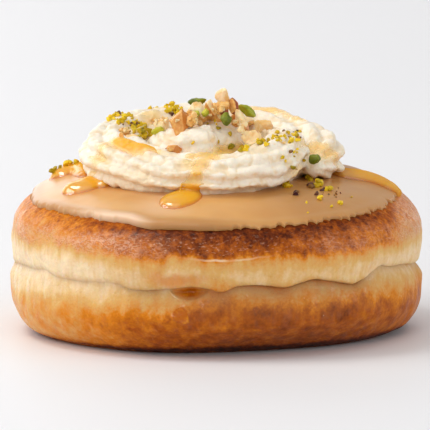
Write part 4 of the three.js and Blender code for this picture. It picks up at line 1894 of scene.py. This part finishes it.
@dataclass(frozen=True)
class Sprinkle:
    """Crumbs over an ellipse: of the picture in pixels, or of the plan in millimetres."""

    middle: tuple[float, float]
    spread: tuple[float, float] = (0.5, 0.5)
    count: int = 1
    half: tuple[float, float] = (0.35, 0.8)
    tone: tuple[float, float] = (0.0, 0.7)
    plan: bool = False


@dataclass
class Crumbs:
    """Pistachio crumbs and scraps of their dark skin, strewn over cream and icing."""

    surface: Surface
    seed: int = 7
    flats: int = 6
    lift: float = 0.4
    sprinkles: tuple[Sprinkle, ...] = (
        Sprinkle((121, 119), (12, 6), 40, (0.3, 0.85), (0.0, 0.5)),
        Sprinkle((134, 125), (7, 6), 14, tone=(0.0, 0.5)),
        Sprinkle((141, 132), (9, 8), 40, (0.35, 0.9), (0.0, 0.7)),
        Sprinkle((173, 109), (10, 5), 26, (0.35, 0.9), (0.0, 0.5)),
        Sprinkle((193, 143), half=(0.7, 0.7), tone=(0.2, 0.3)),
        Sprinkle((218, 128), half=(0.75, 0.75), tone=(0.7, 0.8)),
        Sprinkle((230, 135), half=(0.75, 0.75), tone=(0.5, 0.6)),
        Sprinkle((218, 142), half=(0.6, 0.6), tone=(0.4, 0.5)),
        Sprinkle((231, 148), half=(0.9, 0.9), tone=(0.7, 0.8)),
        Sprinkle((212, 124), (6, 3), 3, (0.3, 0.5)),
        Sprinkle((242, 149), (4, 2), 4, (0.5, 0.9)),
        Sprinkle((264, 143), (7, 3), 9, (0.4, 0.8)),
        Sprinkle((284, 138), (12, 6), 22, (0.3, 0.8)),
        Sprinkle((297, 136), (7, 6), 8, (0.3, 0.8)),
        Sprinkle((282, 160), (4, 4), 3, (0.4, 0.6)),
        Sprinkle((292, 166), half=(0.75, 0.75), tone=(0.6, 0.7)),
        Sprinkle((302, 160), half=(0.6, 0.6)),
        Sprinkle((293, 152), (6, 5), 5, (0.25, 0.5)),
        Sprinkle((309, 179), (4, 4), 5, (0.8, 1.3), (0.1, 0.6)),
        Sprinkle((317, 185), (4, 3), 5, (0.8, 1.2), (0.1, 0.5)),
        Sprinkle((328, 190), (3, 2), 3, (0.7, 1.0), (0.1, 0.4)),
        Sprinkle((288, 187), (4, 2), 4, (0.6, 1.0), (0.1, 0.5)),
        Sprinkle((320, 199), (3, 1), 3, (0.6, 0.9), (0.0, 0.1)),
        Sprinkle((340, 204), (2, 1), 3, (0.5, 0.7), (0.0, 0.1)),
        Sprinkle((331, 207), (1, 1), 2, (0.35, 0.5), (0.0, 0.15)),
        Sprinkle((306, 203), half=(0.45, 0.45), tone=(0.0, 0.1)),
        Sprinkle((308, 213), half=(0.25, 0.25), tone=(0.0, 0.1)),
        Sprinkle((351, 197), half=(0.3, 0.3)),
        Sprinkle((56, 164), (4, 2), 4, (0.6, 1.0)),
        Sprinkle((72, 160), (6, 2), 7, (0.6, 1.0)),
        Sprinkle((4.0, 27.0), (11.0, 2.5), 28, plan=True),
        Sprinkle((6.0, 36.0), (7.0, 2.4), 16, plan=True),
        Sprinkle((-15.0, 23.0), (5.0, 2.5), 14, plan=True),
        Sprinkle((2.0, 8.0), (7.0, 3.0), 14, plan=True),
    )
    nut_bits: tuple[Sprinkle, ...] = (
        Sprinkle((186, 120), (14, 5), 8, (0.5, 1.0)),
        Sprinkle((214, 112), (12, 6), 9, (0.5, 1.0)),
        Sprinkle((240, 124), (8, 9), 8, (0.5, 1.0)),
        Sprinkle((160, 120), (8, 5), 5, (0.5, 0.9)),
        Sprinkle((128, 134), (8, 5), 5, (0.5, 1.0)),
        Sprinkle((288, 140), (14, 6), 5, (0.3, 0.6)),
        Sprinkle((174, 151), (6, 3), 4, (0.5, 0.9), (0.5, 0.9)),
        Sprinkle((0.0, 4.0), (6.0, 3.0), 12, (0.6, 1.3), plan=True),
        Sprinkle((2.0, 14.0), (9.0, 4.0), 9, (0.5, 1.0), plan=True),
    )
    scraps: tuple[Sprinkle, ...] = (
        Sprinkle((118, 115), (3, 1), 3, (0.5, 0.8)),
        Sprinkle((136, 124), half=(0.7, 0.7)),
        Sprinkle((126, 124), (12, 8), 7, (0.25, 0.5)),
        Sprinkle((172, 113), (4, 2), 3, (0.4, 0.7)),
        Sprinkle((290, 152), half=(0.7, 0.7)),
        Sprinkle((290, 138), (16, 8), 9, (0.2, 0.45)),
        Sprinkle((296, 194), (2, 1), 3, (0.7, 1.0)),
        Sprinkle((310, 187), (3, 2), 3, (0.6, 0.9)),
        Sprinkle((316, 195), half=(0.75, 0.75)),
        Sprinkle((323, 191), (2, 1), 2, (0.5, 0.7)),
        Sprinkle((336, 196), (2, 2), 3, (0.25, 0.4)),
        Sprinkle((334, 193), (14, 7), 9, (0.12, 0.3)),
        Sprinkle((6.0, 27.0), (11.0, 2.5), 8, (0.3, 0.7), plan=True),
    )

    def blank(self) -> tuple[Array, Array]:
        """Give the vertices and faces that every crumb starts from.

        Returns:
            Rows of x, y and z, and rows of corners.
        """
        Bench.pick()
        bpy.ops.mesh.primitive_ico_sphere_add(subdivisions=2, radius=1.0)
        piece = bpy.context.object
        points = Bench.points(piece)
        faces = np.array([polygon.vertices[:] for polygon in piece.data.polygons])
        bpy.data.objects.remove(piece)
        return points, faces

    def crumb(self, points: Array, draw: np.random.Generator, spot: Spot, half: float) -> Array:
        """Break one crumb off and press it into a spot.

        Args:
            points: The vertices that it starts from.
            draw: Random numbers.
            spot: Where it lies.
            half: Half its size, in millimetres.

        Returns:
            Its vertices, in millimetres.
        """
        shaped = points * draw.uniform(0.75, 1.3, size=3)
        for _ in range(self.flats):
            facing = unit(draw.normal(size=(1, 3)))[0]
            over = np.maximum(shaped @ facing - draw.uniform(0.3, 0.65), 0)
            shaped = shaped - over[:, None] * facing
        turn, _ = np.linalg.qr(draw.normal(size=(3, 3)))
        turn = turn * np.sign(np.linalg.det(turn))
        lifted = np.array(spot.place) / MM + np.array(spot.facing) * half * self.lift
        return shaped @ turn.T * half + lifted

    def strew(
        self, name: str, sprinkles: Sequence[Sprinkle], skin: Skin, finish: KernelFinish, slot: str
    ) -> bpy.types.Object:
        """Make all crumbs of one kind as one piece.

        Args:
            name: The piece's name.
            sprinkles: Where they lie.
            skin: How much of them is skin.
            finish: What they are.
            slot: The record's material slot.

        Returns:
            The finished piece.
        """
        draw = np.random.default_rng(self.seed + len(sprinkles))
        points, faces = self.blank()
        vertices, polygons, tones = [], [], []
        for sprinkle in sprinkles:
            find = self.surface.below if sprinkle.plan else self.surface.seen
            for _ in range(sprinkle.count):
                away = math.sqrt(draw.random())
                angle = draw.uniform(0, 2 * math.pi)
                across = sprinkle.middle[0] + sprinkle.spread[0] * away * math.cos(angle)
                along = sprinkle.middle[1] + sprinkle.spread[1] * away * math.sin(angle)
                half = draw.uniform(*sprinkle.half)
                tone = draw.uniform(*sprinkle.tone)
                spot = find(across, along)
                if spot is None:
                    continue
                polygons.append(faces + len(points) * len(vertices))
                vertices.append(self.crumb(points, draw, spot, half))
                tones.append(np.full(len(points), tone))
        mesh = bpy.data.meshes.new(name)
        mesh.from_pydata(np.concatenate(vertices) * MM, [], np.concatenate(polygons).tolist())
        piece = bpy.data.objects.new(name, mesh)
        bpy.context.scene.collection.objects.link(piece)
        Bench.paint(piece, "tone", np.concatenate(tones))
        Bench.paint(piece, "skin", np.full(len(mesh.vertices), skin.value))
        Bench.close(piece)
        Bench.smooth(piece, 30.0)
        return Bench.hand_over(piece, finish.material(), slot)

    def build(self) -> list[bpy.types.Object]:
        """Make the nut bits, the green crumbs and the scraps of dark skin.

        Returns:
            One piece of each kind.
        """
        return [
            self.strew("nut_bits", self.nut_bits, Skin.NONE, NUT, "nut"),
            self.strew("pistachio_crumbs", self.sprinkles, Skin.NONE, PISTACHIO, "pistachio"),
            self.strew("pistachio_skins", self.scraps, Skin.ALL, PISTACHIO, "pistachio"),
        ]


# Where honey stains the cream: column and row in the picture, and spread in millimetres.
STAINS = (
    (150, 114, 4.0), (100, 160, 3.0), (92, 175, 2.0), (112, 146, 3.4), (128, 142, 1.8),
    (190, 162, 2.4), (270, 107, 4.0), (300, 114, 3.0), (318, 150, 4.0), (330, 154, 2.2),
    (215, 156, 2.5), (230, 152, 2.5), (158, 152, 1.4), (297, 172, 2.6),
)


def main() -> None:
    """Build the studio, then the doughnut from the bun upwards."""
    logging.basicConfig(level=logging.INFO, format="%(message)s")
    bpy.context.scene.view_settings.view_transform = "Standard"
    viewpoint = Viewpoint()
    viewpoint.build()
    Studio().build()
    dough = Dough()
    bun = dough.build()
    icing = Icing(dough).build()
    swirl = CreamSwirl()
    cream = swirl.build()
    bare = Surface(viewpoint, bun, icing, cream)
    stained = ((bare.seen(column, row), spread) for column, row, spread in STAINS)
    swirl.dress(cream, [(spot.place, spread) for spot, spread in stained if spot is not None])
    honey = Honey(bare, (icing, cream)).build()
    heap = NutHeap().build()
    Crumbs(Surface(viewpoint, bun, icing, cream, honey, *heap)).build()


if __name__ == "__main__":
    main()
